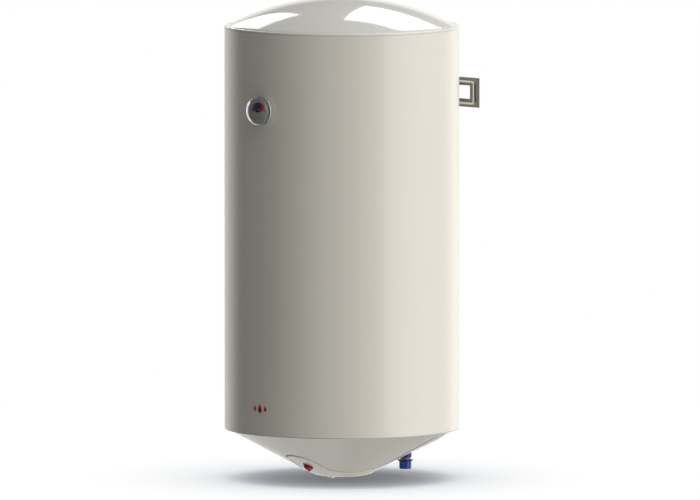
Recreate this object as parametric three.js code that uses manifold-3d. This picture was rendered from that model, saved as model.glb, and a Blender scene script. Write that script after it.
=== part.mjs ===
// A wall-hung electric storage water heater of the 100 litre size.
//
// Frame: +Z up, +Y towards the wall, -Y to the front, +X to the right as seen from the front.
// The origin is the centre of the wall bracket's rear face. All sizes are in millimetres.

import * as THREE from "three";
import { mergeVertices } from "three/addons/utils/BufferGeometryUtils.js";
import Module from "manifold-3d";

const wasm = await Module();
wasm.setup();

// ---- Driving dimensions ----

const GAP = 0.3; // clearance between pieces that touch
const BODY_R = 225; // outside of the jacket
const BODY_H = 770;
const TOP_Z = 134; // the jacket's upper rim, above the bracket's centre line
const BOTTOM_Z = TOP_Z - BODY_H;
const AXIS_TO_WALL = 245;
const SHEET = 1.5; // jacket sheet
const CAP_WALL = 2.5; // wall of the top and bottom caps
const SPIGOT = 15; // how far a cap reaches into the jacket

const DOME_RISE = 57;
const DOME_R = 472;
const BEAD_W = 9; // the raised bead round the lid's edge, and the groove inside it
const BEAD_H = 4.2;
const BEAD_GROOVE_R = BODY_R - BEAD_W;

const CONE_ANGLE = THREE.MathUtils.degToRad(28.2);
const CONE_SLOPE = Math.tan(CONE_ANGLE);
const CONE_TOP_R = 221.6; // where the cone's straight line meets the rim's level
const FOOT_R = 50; // where the cone's straight line meets the flat underside
const FOOT_BLEND = 12; // half of the rounding between them

const COVER_WALL = 2;
const COVER_GROOVE = 1.2;
const GLAND_Y = -29; // the cable gland in the cover's flat middle, in plan from the heater's axis
const KNOB_Y = -92; // the knob's centre on the cone

const TANK_R = 205;
const TANK_WALL = 2.5;
const TANK_TOP_Z = 95; // ends of the tank's straight part
const TANK_BOTTOM_Z = -590;
const TANK_TOP_RISE = 60;
const TANK_BOTTOM_DROP = 45;

const NECK_BORE_R = 50; // the flange opening in the tank's floor
const FLANGE_R = 75;
const FLANGE_FACE_Z = -655; // lower face of the neck's ring
const GASKET = 3;
const FLANGE_PLATE = 6;
const UNDER_FLANGE = FLANGE_FACE_Z - GASKET - FLANGE_PLATE;
const FLANGE_BOLTS = 5;
const BOLT_CIRCLE_R = 65;

const PIPE_X = 50; // half of the distance between the water connections
const PIPE_Y = 123.5; // from the heater's axis
const PIPE_R = 10.48; // a half inch thread
const PIPE_BORE_R = 8;
const PIPE_END_Z = BOTTOM_Z - 82.8;

const DIAL_X = 6; // thermometer's centre, a little right of the jacket's front line
const DIAL_Z = -13;
const BEZEL_R = 28.5;
const BEZEL_PROUD = 7;
const LENS_PROUD = 21;
const LENS_WALL = 1.7;

const BRACKET_HALF_W = 131;
const BRACKET_HALF_H = 28.5;
const BRACKET_ARM = 15.6; // height of the arms above and below a window
const BRACKET_POST = 23; // width of the upright at each end
const BRACKET_WINDOW = 45;
const BRACKET_PLATE = 3;
const BRACKET_RIB = 5;
const SCREW_X = 35; // bracket screws, either side of the centre

const SADDLE_HALF_W = 44;
const SADDLE_HALF_H = 23;
const SADDLE_SHEET = 3;

const SPACER_Z = -480;
const EMBLEM_Z = -585;

// Sides of a full turn. The jacket has twice as many as what sits in it, so their corners line up.
const JACKET_SIDES = 72;
const BODY_SIDES = JACKET_SIDES / 2;

// ---- Colours and surfaces: [colour, roughness, metalness] ----

const FINISHES = {
  warmWhite: [0xe6e1d6, 0.25, 0],
  white: [0xecebe7, 0.2, 0],
  foam: [0xe3d3a2, 0.95, 0],
  enamelledSteel: [0x35506e, 0.4, 0.2],
  steel: [0x9b9c98, 0.4, 0.9],
  zinc: [0x8d8d86, 0.45, 0.85],
  copper: [0xb87349, 0.35, 0.9],
  magnesium: [0xb9bbbd, 0.55, 0.8],
  rubber: [0x1d1d1e, 0.8, 0],
  blackPlastic: [0x232325, 0.5, 0],
  redPlastic: [0xb02a26, 0.35, 0],
  bluePlastic: [0x16418f, 0.35, 0],
  silver: [0xc9c9c5, 0.22, 0.6],
  dialWhite: [0xdededa, 0.5, 0],
  glass: [0xdfe8ea, 0.03, 0],
  wireBrown: [0x5a3a22, 0.6, 0],
  wireBlue: [0x2a5fa8, 0.6, 0],
  wireGreen: [0x5d9a36, 0.6, 0],
};

// ---- Geometry helpers. Each returns a closed BufferGeometry whose own axis is Z. ----

const point = (x, y) => new THREE.Vector2(x, y);
const degrees = THREE.MathUtils.degToRad;

// A profile of [radius, z] points turned about Z.
// It runs anticlockwise, and closes on the axis or on itself.
function turned(profile, segments) {
  const points = profile.map(([r, z]) => point(r, z));
  const onAxis = points[0].x === 0 && points.at(-1).x === 0;
  if (!onAxis) points.push(points[0].clone());
  return new THREE.LatheGeometry(points, segments).rotateX(Math.PI / 2);
}

const ring = (inner, outer, z0, z1, segments) =>
  turned([[inner, z0], [outer, z0], [outer, z1], [inner, z1]], segments);

function rod(radius, z0, z1, sides) {
  const length = z1 - z0;
  return new THREE.CylinderGeometry(radius, radius, length, sides)
    .rotateX(Math.PI / 2)
    .translate(0, 0, z0 + length / 2);
}

function block([x0, x1], [y0, y1], [z0, z1]) {
  return new THREE.BoxGeometry(x1 - x0, y1 - y0, z1 - z0)
    .translate((x0 + x1) / 2, (y0 + y1) / 2, (z0 + z1) / 2);
}

const hexagon = (acrossFlats, z0, z1) => rod(acrossFlats / Math.sqrt(3), z0, z1, 6);

function prism(shape, z0, z1, curveSegments = 8) {
  const options = { depth: z1 - z0, bevelEnabled: false, curveSegments };
  return new THREE.ExtrudeGeometry(shape, options).translate(0, 0, z0);
}

// A round bar along a smooth line through [x, y, z] points.
function bent(points, radius, steps, sides = 8) {
  const line = new THREE.CatmullRomCurve3(points.map((p) => new THREE.Vector3(...p)));
  const section = new THREE.Shape().absarc(0, 0, radius, 0, 2 * Math.PI);
  const options = { extrudePath: line, steps, curveSegments: sides / 2, bevelEnabled: false };
  return new THREE.ExtrudeGeometry(section, options);
}

function solidOf(geometry) {
  const bare = geometry.clone();
  bare.deleteAttribute("normal");
  bare.deleteAttribute("uv");
  const merged = mergeVertices(bare, 1e-3);
  return new wasm.Manifold(new wasm.Mesh({
    numProp: 3,
    vertProperties: merged.attributes.position.array,
    triVerts: new Uint32Array(merged.index.array),
  }));
}

function geometryOf(solid) {
  const mesh = solid.getMesh();
  const geometry = new THREE.BufferGeometry();
  geometry.setAttribute("position", new THREE.BufferAttribute(mesh.vertProperties, 3));
  geometry.setIndex(new THREE.BufferAttribute(mesh.triVerts, 1));
  geometry.computeVertexNormals();
  return geometry;
}

const fold = (step) => (first, ...others) =>
  geometryOf(others.reduce((made, next) => step(made, solidOf(next)), solidOf(first)));
const join = fold((a, b) => a.add(b));
const cut = fold((a, b) => a.subtract(b));
const common = fold((a, b) => a.intersect(b));

function add(parent, name, finish, geometry) {
  const [color, roughness, metalness] = FINISHES[finish];
  const material = new THREE.MeshStandardMaterial({ color, roughness, metalness });
  if (finish === "glass") Object.assign(material, { transparent: true, opacity: 0.35 });
  const mesh = new THREE.Mesh(geometry, material);
  mesh.name = name;
  parent.add(mesh);
}

// ---- Outlines and surfaces that several pieces share ----

// [radius, z] points of the dome from the axis outwards, lowered by a wall's thickness.
function domeLine(lowered) {
  const apex = TOP_Z + DOME_RISE - lowered;
  const steps = 5;
  const reach = BEAD_GROOVE_R - 2;
  return Array.from({ length: steps + 1 }, (_, i) => {
    const r = (reach * i) / steps;
    return [r, apex - DOME_R + Math.sqrt(DOME_R ** 2 - r ** 2)];
  });
}

// Height of the bottom cap's straight cone at a radius.
const coneZ = (r) => BOTTOM_Z - CONE_SLOPE * (CONE_TOP_R - r);

// [radius, z] points of the bottom cap from the axis outwards, raised by a wall's thickness.
function coneLine(raised, outerR) {
  const blendR = FOOT_R + FOOT_BLEND * Math.cos(CONE_ANGLE);
  const foot = new THREE.QuadraticBezierCurve(
    point(FOOT_R - FOOT_BLEND, coneZ(FOOT_R)),
    point(FOOT_R, coneZ(FOOT_R)),
    point(blendR, coneZ(blendR)),
  );
  const line = foot.getPoints(3).map((p) => [p.x, p.y + raised]);
  return [[0, coneZ(FOOT_R) + raised], ...line, [outerR, coneZ(outerR) + raised]];
}

const vertical = (wall) => wall / Math.cos(CONE_ANGLE); // a cone wall's thickness along Z

// The service cover in plan: a tongue to the front that flares into two wings behind.
// Its right half is drawn and mirrored, then grown by a distance for the groove and ledge around it.
function coverOutline(grown) {
  const tongueR = 32;
  const rearY = 98;
  const half = new THREE.Path();
  half.absarc(0, -105.5, tongueR, 1.5 * Math.PI, 2 * Math.PI);
  half.lineTo(tongueR, -87);
  half.quadraticCurveTo(tongueR, -80, 37, -74);
  half.lineTo(88, 9);
  half.quadraticCurveTo(98, 26, 116, 31);
  half.lineTo(186, 57.5);
  half.quadraticCurveTo(201, 63, 197, 72);
  half.lineTo(192, 85);
  half.quadraticCurveTo(186, rearY, 166, rearY);
  half.lineTo(0, rearY);
  const isNew = (p, i, all) => i === 0 || p.distanceTo(all[i - 1]) > 0.01;
  const right = half.getPoints(4).filter(isNew);
  const left = right.slice(1, -1).reverse().map((p) => point(-p.x, p.y));
  return grownShape([...right, ...left], grown);
}

// A closed outline with each point moved out along the mean normal of its two edges.
function grownShape(points, distance) {
  const moved = points.map((p, i) => {
    const before = p.clone().sub(points.at(i - 1)).normalize();
    const after = points[(i + 1) % points.length].clone().sub(p).normalize();
    const along = before.add(after).normalize();
    return point(p.x + along.y * distance, p.y - along.x * distance);
  });
  return new THREE.Shape(moved);
}

const coverPrism = (grown) => prism(coverOutline(grown), BOTTOM_Z - 120, BOTTOM_Z + 40, 6);

const ellipseZ = (r, reach, height) => height * Math.sqrt(Math.max(0, 1 - (r / reach) ** 2));

// [radius, z] points of a dished end from the axis outwards.
function dishLine(reach, rimZ, height) {
  const steps = 5;
  return Array.from({ length: steps + 1 }, (_, i) => {
    const r = reach * Math.sin((i / steps) * (Math.PI / 2));
    return [r, rimZ + ellipseZ(r, reach, height)];
  });
}

// The same for the tank's floor, which curves down.
const floorLine = (reach, drop) =>
  dishLine(reach, 0, drop).map(([r, z]) => [r, TANK_BOTTOM_Z - GAP - z]);

// Cutters for the places where something passes through the jacket and the side foam.
const dialHole = (radius, from, to) =>
  rod(radius, from, to, 32).rotateX(Math.PI / 2).translate(DIAL_X, 0, DIAL_Z);
const saddleHole = () =>
  block([-SADDLE_HALF_W - 1, SADDLE_HALF_W + 1], [150, 240], [-SADDLE_HALF_H - 1, SADDLE_HALF_H + 1]);
const pegHole = () => rod(5.5, -240, -180, 16).rotateX(Math.PI / 2).translate(0, 0, SPACER_Z);

const pipePlaces = [-PIPE_X, PIPE_X];
const pipeHole = (x, radius, z0, z1) => rod(radius, z0, z1, 20).translate(x, PIPE_Y, 0);

const coverScrews = [
  ["cover_screw_left", -115, 88],
  ["cover_screw_right", 115, 88],
  ["cover_screw_rear", 0, 88],
];

// Places a group on the cone with its +Z pointing out of the surface, and its +Y up the slope.
function onCone(x, y) {
  const seat = new THREE.Group();
  seat.rotation.order = "ZXY";
  seat.rotation.z = Math.atan2(x, -y);
  seat.rotation.x = Math.PI - CONE_ANGLE;
  seat.position.set(x, y, coneZ(Math.hypot(x, y)));
  seat.updateMatrix();
  return seat;
}

const screwHole = (radius, x, y) => rod(radius, -10, 10, 12).applyMatrix4(onCone(x, y).matrix);

// ---- Jacket and caps ----

function outerShell(heater) {
  const sheet = ring(BODY_R - SHEET, BODY_R, BOTTOM_Z, TOP_Z, JACKET_SIDES);
  const holes = [dialHole(23, 200, 240), saddleHole(), pegHole()];
  add(heater, "outer_shell", "warmWhite", cut(sheet, ...holes));
}

function topCap(heater) {
  const spigotR = BODY_R - SHEET - GAP;
  const innerR = spigotR - CAP_WALL;
  const profile = [
    ...domeLine(CAP_WALL),
    [BEAD_GROOVE_R - 1, TOP_Z - 0.5],
    [innerR, TOP_Z - 0.5],
    [innerR, TOP_Z - SPIGOT],
    [spigotR, TOP_Z - SPIGOT],
    [spigotR, TOP_Z + GAP],
    [BODY_R, TOP_Z + GAP],
    [BODY_R, TOP_Z + BEAD_H - 1.7],
    [BODY_R - 1.7, TOP_Z + BEAD_H],
    [BODY_R - 5, TOP_Z + BEAD_H],
    [BEAD_GROOVE_R + 1.5, TOP_Z + 2.6],
    [BEAD_GROOVE_R, TOP_Z + 2.6],
    ...domeLine(0).reverse(),
  ];
  add(heater, "top_cap", "white", turned(profile, BODY_SIDES));
}

function bottomCap(heater) {
  const spigotR = BODY_R - SHEET - GAP;
  const innerR = spigotR - CAP_WALL;
  const shoulderR = BODY_R - 6;
  const wall = vertical(CAP_WALL);
  const ledgeTop = vertical(COVER_WALL) + GAP;
  const shell = turned([
    ...coneLine(0, shoulderR),
    [BODY_R - 1.5, BOTTOM_Z - 1.8],
    [BODY_R, BOTTOM_Z - GAP],
    [spigotR, BOTTOM_Z - GAP],
    [spigotR, BOTTOM_Z + SPIGOT],
    [innerR, BOTTOM_Z + SPIGOT],
    ...coneLine(wall, innerR).reverse(),
  ], BODY_SIDES);
  const opened = cut(shell, coverPrism(COVER_GROOVE));
  const ledge = turned([
    ...coneLine(ledgeTop, BODY_R - 10),
    ...coneLine(ledgeTop + 2, BODY_R - 10).reverse(),
  ], BODY_SIDES);
  const lugs = coverScrews.map(([, x, y]) =>
    common(ledge, block([x - 7, x + 7], [y - 7, y + 12], [-800, -600])));
  const rim = join(cut(common(ledge, coverPrism(4)), coverPrism(-6)), ...lugs);
  const screwHoles = coverScrews.map(([, x, y]) => screwHole(2.1, x, y));
  const holes = pipePlaces.map((x) => pipeHole(x, 12.6, BOTTOM_Z - 90, BOTTOM_Z - 20));
  add(heater, "bottom_cap", "white", cut(join(opened, rim), ...holes, ...screwHoles));
}

// ---- Service cover, its screws and the cable gland ----

function serviceCover(heater) {
  const shell = turned([
    ...coneLine(0, BODY_R - 8),
    ...coneLine(vertical(COVER_WALL), BODY_R - 8).reverse(),
  ], BODY_SIDES);
  const knobHole = rod(10.7, -10, 10, 24).applyMatrix4(onCone(0, KNOB_Y).matrix);
  const screwHoles = coverScrews.map(([, x, y]) => screwHole(2.2, x, y));
  const glandHole = rod(6.4, coneZ(FOOT_R) - 5, coneZ(FOOT_R) + 5, 16).translate(0, GLAND_Y, 0);
  const plate = common(shell, coverPrism(0));
  add(heater, "service_cover", "white", cut(plate, knobHole, glandHole, ...screwHoles));
  coverScrews.forEach(([name, x, y]) => {
    const seat = onCone(x, y);
    heater.add(seat);
    const head = turned([[0, GAP], [4, GAP], [3.4, 1.7], [2, 2.2], [0, 2.2]], 12);
    const slots = [[4.4, 0.9], [0.9, 4.4]].map(([w, h]) =>
      block([-w / 2, w / 2], [-h / 2, h / 2], [1.2, 3]));
    add(seat, name, "zinc", cut(join(head, rod(1.8, -7, 1, 12)), ...slots));
  });
}

function cableGland(heater) {
  const underside = coneZ(FOOT_R);
  const profile = [
    [3.2, underside - 3.2],
    [4.6, underside - 4],
    [6.2, underside - 3.4],
    [7, underside - 1.6],
    [7, underside - GAP],
    [6, underside - GAP],
    [6, underside + 14],
    [4, underside + 18],
    [3.2, underside + 18],
  ];
  const gland = turned(profile, 16).translate(0, GLAND_Y, 0);
  add(heater, "cable_gland", "white", gland);
}

// ---- Knob, thermostat and safety cut-out ----

const KNOB_R = 9;
const SPINDLE_R = 3;
const THERMOSTAT_TOP = -12.6; // under the cover, along the knob's axis

function thermostat(heater) {
  const seat = onCone(0, KNOB_Y);
  heater.add(seat);

  const drop = new THREE.Shape();
  const bezelR = 11.4;
  const boreR = KNOB_R + 0.7;
  const tangent = degrees(38);
  drop.absarc(0, 0, bezelR, Math.PI - tangent, 2 * Math.PI + tangent);
  drop.lineTo(0, 17);
  const plate = prism(drop, GAP, 1.5, 9);
  const sleeve = ring(boreR, boreR + 0.7, -4, 1, 24);
  add(seat, "knob_bezel", "blackPlastic", join(cut(plate, rod(boreR, -1, 3, 24)), sleeve));

  const knobProfile = [
    [0, -2.5],
    [KNOB_R - 0.6, -2.5],
    [KNOB_R, -1.8],
    [KNOB_R, 3],
    [KNOB_R - 1, 4],
    [0, 4],
  ];
  const grip = block([-2, 2], [-7.7, 8.2], [3, 7.5]);
  const bore = rod(SPINDLE_R + GAP, -4, 2, 16);
  add(seat, "control_knob", "redPlastic", cut(join(turned(knobProfile, 24), grip), bore));
  add(seat, "thermostat_spindle", "steel", rod(SPINDLE_R, -20, 1.6, 16));

  const box = block([-17, 17], [-17, 17], [-38, THERMOSTAT_TOP]);
  const bush = rod(6, THERMOSTAT_TOP - 1, THERMOSTAT_TOP + 5, 16);
  const spindleBore = rod(SPINDLE_R + GAP, -22, 0, 16);
  add(seat, "thermostat_body", "blackPlastic", cut(join(box, bush), spindleBore));
}

const POCKET_Y = -30;

function thermostatSensor(heater) {
  const top = -380;
  const bottom = UNDER_FLANGE - 4;
  const tube = [[0, top - 2], [4, top - 2], [4, bottom], [5, bottom], [5, top], [0, top]];
  add(heater, "sensor_pocket", "copper", turned(tube, 16).translate(0, POCKET_Y, 0));
  const capillary = bent([
    [0, -64.8, -691.7],
    [0, -60, -694.3],
    [0, -48, -696],
    [0, -36, -688],
    [0, POCKET_Y, -672],
    [0, POCKET_Y, -640],
    [0, POCKET_Y, -559],
  ], 1, 24, 6);
  const bulb = rod(3, -560, -440, 12).translate(0, POCKET_Y, 0);
  add(heater, "thermostat_sensor", "copper", join(capillary, bulb));
}

const CUTOUT = { x: -49, y: -13, top: -673, bottom: -692 };
const RESET_R = 3;
const RESET_TRAVEL = 2;

function safetyCutout(heater) {
  const { x, y, top, bottom } = CUTOUT;
  const box = block([x - 13, x + 13], [y - 16, y + 16], [bottom, top]);
  const post = rod(3, top - 1, UNDER_FLANGE - 2 * GAP, 12).translate(x, y, 0);
  const bore = rod(RESET_R + GAP, bottom - 1, bottom + 7 + RESET_TRAVEL, 20).translate(x, y, 0);
  add(heater, "safety_cutout", "blackPlastic", cut(join(box, post), bore));
  const button = turned([
    [0, bottom - 5],
    [2.4, bottom - 5],
    [RESET_R, bottom - 4.4],
    [RESET_R, bottom + 6],
    [0, bottom + 6],
  ], 20);
  add(heater, "reset_button", "redPlastic", button.translate(x, y, 0));
}

// ---- Tank ----

function tank(heater) {
  const innerR = TANK_R - TANK_WALL;
  const shell = ring(innerR, TANK_R, TANK_BOTTOM_Z, TANK_TOP_Z, BODY_SIDES);
  add(heater, "tank_shell", "enamelledSteel", shell);

  const dome = turned([
    ...dishLine(innerR, TANK_TOP_Z + GAP, TANK_TOP_RISE - TANK_WALL),
    ...dishLine(TANK_R, TANK_TOP_Z + GAP, TANK_TOP_RISE).reverse(),
  ], BODY_SIDES);
  add(heater, "tank_top_end", "enamelledSteel", dome);
  const floor = turned([
    ...floorLine(TANK_R, TANK_BOTTOM_DROP),
    ...floorLine(innerR, TANK_BOTTOM_DROP - TANK_WALL).reverse(),
  ], BODY_SIDES);
  const neckHole = rod(NECK_BORE_R + 8.2, -700, -500, 32);
  const pipeHoles = pipePlaces.map((x) => pipeHole(x, PIPE_R + GAP, -700, -500));
  add(heater, "tank_bottom_end", "enamelledSteel", cut(floor, neckHole, ...pipeHoles));
}

function pipes(heater) {
  const sleeveR = PIPE_R + GAP;
  const cap = [
    [0, BOTTOM_Z - 85.5],
    [11.2, BOTTOM_Z - 85.5],
    [11.8, BOTTOM_Z - 84.9],
    [11.8, BOTTOM_Z - 70 - GAP],
    [sleeveR, BOTTOM_Z - 70 - GAP],
    [sleeveR, BOTTOM_Z - 83.2],
    [0, BOTTOM_Z - 83.2],
  ];
  const lines = [
    { water: "hot", name: "hot_outlet_pipe", x: -PIPE_X, top: 125, finish: "redPlastic" },
    { water: "cold", name: "cold_inlet_pipe", x: PIPE_X, top: -556, finish: "bluePlastic" },
  ];
  lines.forEach(({ water, name, x, top, finish }) => {
    const connection = new THREE.Group();
    connection.position.set(x, PIPE_Y, 0);
    heater.add(connection);
    add(connection, name, "zinc", ring(PIPE_BORE_R, PIPE_R, PIPE_END_Z, top, 20));
    add(connection, `${water}_collar`, finish, ring(sleeveR, 12.2, BOTTOM_Z - 63, BOTTOM_Z - 40, 20));
    add(connection, `${water}_washer`, "rubber", ring(sleeveR, 14.6, BOTTOM_Z - 70, BOTTOM_Z - 68, 20));
    add(connection, `${water}_pipe_cap`, finish, turned(cap, 20));
  });

  // The diffuser sits over the cold pipe's mouth and turns the jet aside through its slots.
  const hood = turned([
    [PIPE_R + GAP, -562],
    [13, -562],
    [18, -556],
    [18, -540],
    [0, -534],
    [0, -537],
    [15.5, -542],
    [15.5, -554],
    [PIPE_R + GAP, -558],
  ], 16);
  const slots = [0, 60, 120].map((a) => block([-30, 30], [-3, 3], [-553, -545]).rotateZ(degrees(a)));
  add(heater, "inlet_diffuser", "white", cut(hood, ...slots).translate(PIPE_X, PIPE_Y, 0));
}

// ---- Flange with heating element and anode ----

const ELEMENT_Y = -8;
const ELEMENT_R = 4.2;
const ELEMENT_LEGS = [-30, -10, 10, 30];
const ANODE_Y = 24;

function flange(heater) {
  const gasketTop = FLANGE_FACE_Z - GAP;
  const plateTop = gasketTop - GASKET - GAP;
  const plateBottom = plateTop - FLANGE_PLATE + 2 * GAP;
  const boltPlaces = Array.from({ length: FLANGE_BOLTS }, (_, i) => {
    const angle = Math.PI / 2 + (i * 2 * Math.PI) / FLANGE_BOLTS;
    return [BOLT_CIRCLE_R * Math.cos(angle), BOLT_CIRCLE_R * Math.sin(angle)];
  });
  const boltHoles = boltPlaces.map(([x, y]) => rod(4.3, -680, -640, 12).translate(x, y, 0));

  const neck = turned([
    [NECK_BORE_R, FLANGE_FACE_Z],
    [FLANGE_R, FLANGE_FACE_Z],
    [FLANGE_R, FLANGE_FACE_Z + 6],
    [NECK_BORE_R + 7.5, FLANGE_FACE_Z + 6],
    [NECK_BORE_R + 7.5, -622],
    [NECK_BORE_R, -622],
  ], 32);
  add(heater, "flange_neck", "steel", cut(neck, ...boltHoles));
  const gasket = ring(NECK_BORE_R - 1, FLANGE_R, gasketTop - GASKET, gasketTop, 32);
  add(heater, "flange_gasket", "rubber", cut(gasket, ...boltHoles));

  const passages = [
    rod(ELEMENT_R + GAP, -680, -640, 12).translate(ELEMENT_LEGS[0], ELEMENT_Y, 0),
    rod(ELEMENT_R + GAP, -680, -640, 12).translate(ELEMENT_LEGS[3], ELEMENT_Y, 0),
    rod(5 + GAP, -680, -640, 12).translate(0, POCKET_Y, 0),
    rod(4 + GAP, -680, -640, 12).translate(0, ANODE_Y, 0),
  ];
  const plate = rod(FLANGE_R, plateBottom, plateTop, 32);
  add(heater, "flange_plate", "zinc", cut(plate, ...boltHoles, ...passages));

  boltPlaces.forEach(([x, y], i) => {
    const head = hexagon(13, plateBottom - 5.5, plateBottom - GAP);
    const bolt = join(head, rod(3.95, plateBottom - 1, -650, 10));
    add(heater, `flange_bolt_${i + 1}`, "zinc", bolt.translate(x, y, 0));
  });

  const rodTop = -360;
  add(heater, "anode_rod", "magnesium", join(
    rod(10.5, -645, rodTop, 16),
    rod(3.9, plateBottom - 8, -640, 10),
  ).translate(0, ANODE_Y, 0));
}

// One tube, folded three times: its outer legs pass through the flange, its middle pair turns above it.
function heatingElement(heater) {
  const top = -330;
  const foldZ = -600;
  const bendR = (ELEMENT_LEGS[1] - ELEMENT_LEGS[0]) / 2;
  const bendSection = ELEMENT_R - 0.3; // thinned by the bending, so its ends sit inside the legs
  const bend = (x, z, way) => {
    const arc = Array.from({ length: 9 }, (_, i) => {
      const a = (i / 8) * Math.PI;
      return [x - bendR * Math.cos(a), ELEMENT_Y, z + way * bendR * Math.sin(a)];
    });
    const foot = (side) => [x + side * bendR, ELEMENT_Y, z - way * 3];
    return bent([foot(-1), ...arc, foot(1)], bendSection, 9);
  };
  const leg = (x, z0, z1) => rod(ELEMENT_R, z0, z1, 10).translate(x, ELEMENT_Y, 0);
  const terminal = (x) => rod(2.2, -684, -671, 10).translate(x, ELEMENT_Y, 0);
  const [a, b, c, d] = ELEMENT_LEGS;
  const tube = join(
    leg(a, -672, top + 0.5),
    leg(b, foldZ - 0.5, top + 0.5),
    leg(c, foldZ - 0.5, top + 0.5),
    leg(d, -672, top + 0.5),
    bend((a + b) / 2, top, 1),
    bend((b + c) / 2, foldZ, -1),
    bend((c + d) / 2, top, 1),
    terminal(a),
    terminal(d),
  );
  add(heater, "heating_element", "copper", tube);
}

// ---- Wiring inside the bottom cap ----

const BLOCK = { x: 25, y0: 34, y1: 52, z0: -692, z1: -676 };

function wiring(heater) {
  const { x, y0, y1, z0, z1 } = BLOCK;
  const postTop = UNDER_FLANGE - 2 * GAP;
  const posts = [-18, 18].map((px) => rod(2.5, z1 - 1, postTop, 10).translate(px, (y0 + y1) / 2, 0));
  const wells = [-16, 0, 16].map((px) => rod(3, z0 - 1, z0 + 6, 12).translate(px, y1 - 5, 0));
  const base = block([-x, x], [y0, y1], [z0, z1]);
  add(heater, "terminal_block", "white", cut(join(base, ...posts), ...wells));

  const run = (points) => bent(points, 1.3, 16, 6);
  const entryZ = z0 - 3 * GAP;
  add(heater, "live_wire", "wireBrown", run([
    [-16, y0 + 5, entryZ],
    [-16.5, y0 + 4.5, -697],
    [-22, y0 - 2, -704],
    [-40, 14, -706],
    [CUTOUT.x, CUTOUT.y + 11, -700],
    [CUTOUT.x, CUTOUT.y + 11, CUTOUT.bottom - GAP],
  ]));
  add(heater, "neutral_wire", "wireBlue", run([
    [0, y0 + 5, entryZ],
    [0.5, y0 + 4.5, -697],
    [6, y0 - 2, -705],
    [22, 12, -706],
    [30, -4, -698],
    [30, ELEMENT_Y, -684 - GAP],
  ]));
  add(heater, "earth_wire", "wireGreen", run([
    [16, y0 + 5, entryZ],
    [16.5, y0 + 5, -697],
    [24, y0 + 2, -703],
    [44, 28, -700],
    [56, 14, -686],
    [58, 2, UNDER_FLANGE - 2 * GAP],
  ]));
}

// ---- Foam ----

function insulation(heater) {
  const foamR = BODY_R - SHEET - GAP;
  const lineR = foamR - CAP_WALL - 1.5; // clear of the caps' spigots
  const capillaryChannel = block([DIAL_X - 5, DIAL_X + 5], [-213, -200], [DIAL_Z - 106, DIAL_Z]);
  const side = ring(TANK_R + GAP, foamR, TANK_BOTTOM_Z + GAP, TANK_TOP_Z, BODY_SIDES);
  const holes = [dialHole(23, 200, 240), saddleHole(), pegHole(), capillaryChannel];
  add(heater, "insulation_side", "foam", cut(side, ...holes));

  const underDome = domeLine(CAP_WALL + 5);
  const top = turned([
    ...dishLine(TANK_R + GAP, TANK_TOP_Z + GAP, TANK_TOP_RISE + GAP).slice(0, -1),
    [TANK_R + GAP, TANK_TOP_Z + GAP],
    [lineR, TANK_TOP_Z + GAP],
    [lineR, underDome.at(-1)[1]],
    ...underDome.reverse(),
  ], BODY_SIDES);
  add(heater, "insulation_top", "foam", top);

  const upper = floorLine(TANK_R + GAP, TANK_BOTTOM_DROP + 2 * GAP).slice(2);
  const overCone = (r) => [r, coneZ(r) + 9];
  const foam = turned([
    overCone(upper[0][0]),
    overCone(lineR),
    [lineR, TANK_BOTTOM_Z - GAP],
    ...upper.reverse(),
  ], BODY_SIDES);
  const pipeHoles = pipePlaces.map((x) => pipeHole(x, 12.6, BOTTOM_Z - 90, -500));
  add(heater, "insulation_bottom", "foam", cut(foam, ...pipeHoles));
}

// ---- Dial thermometer ----

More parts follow.
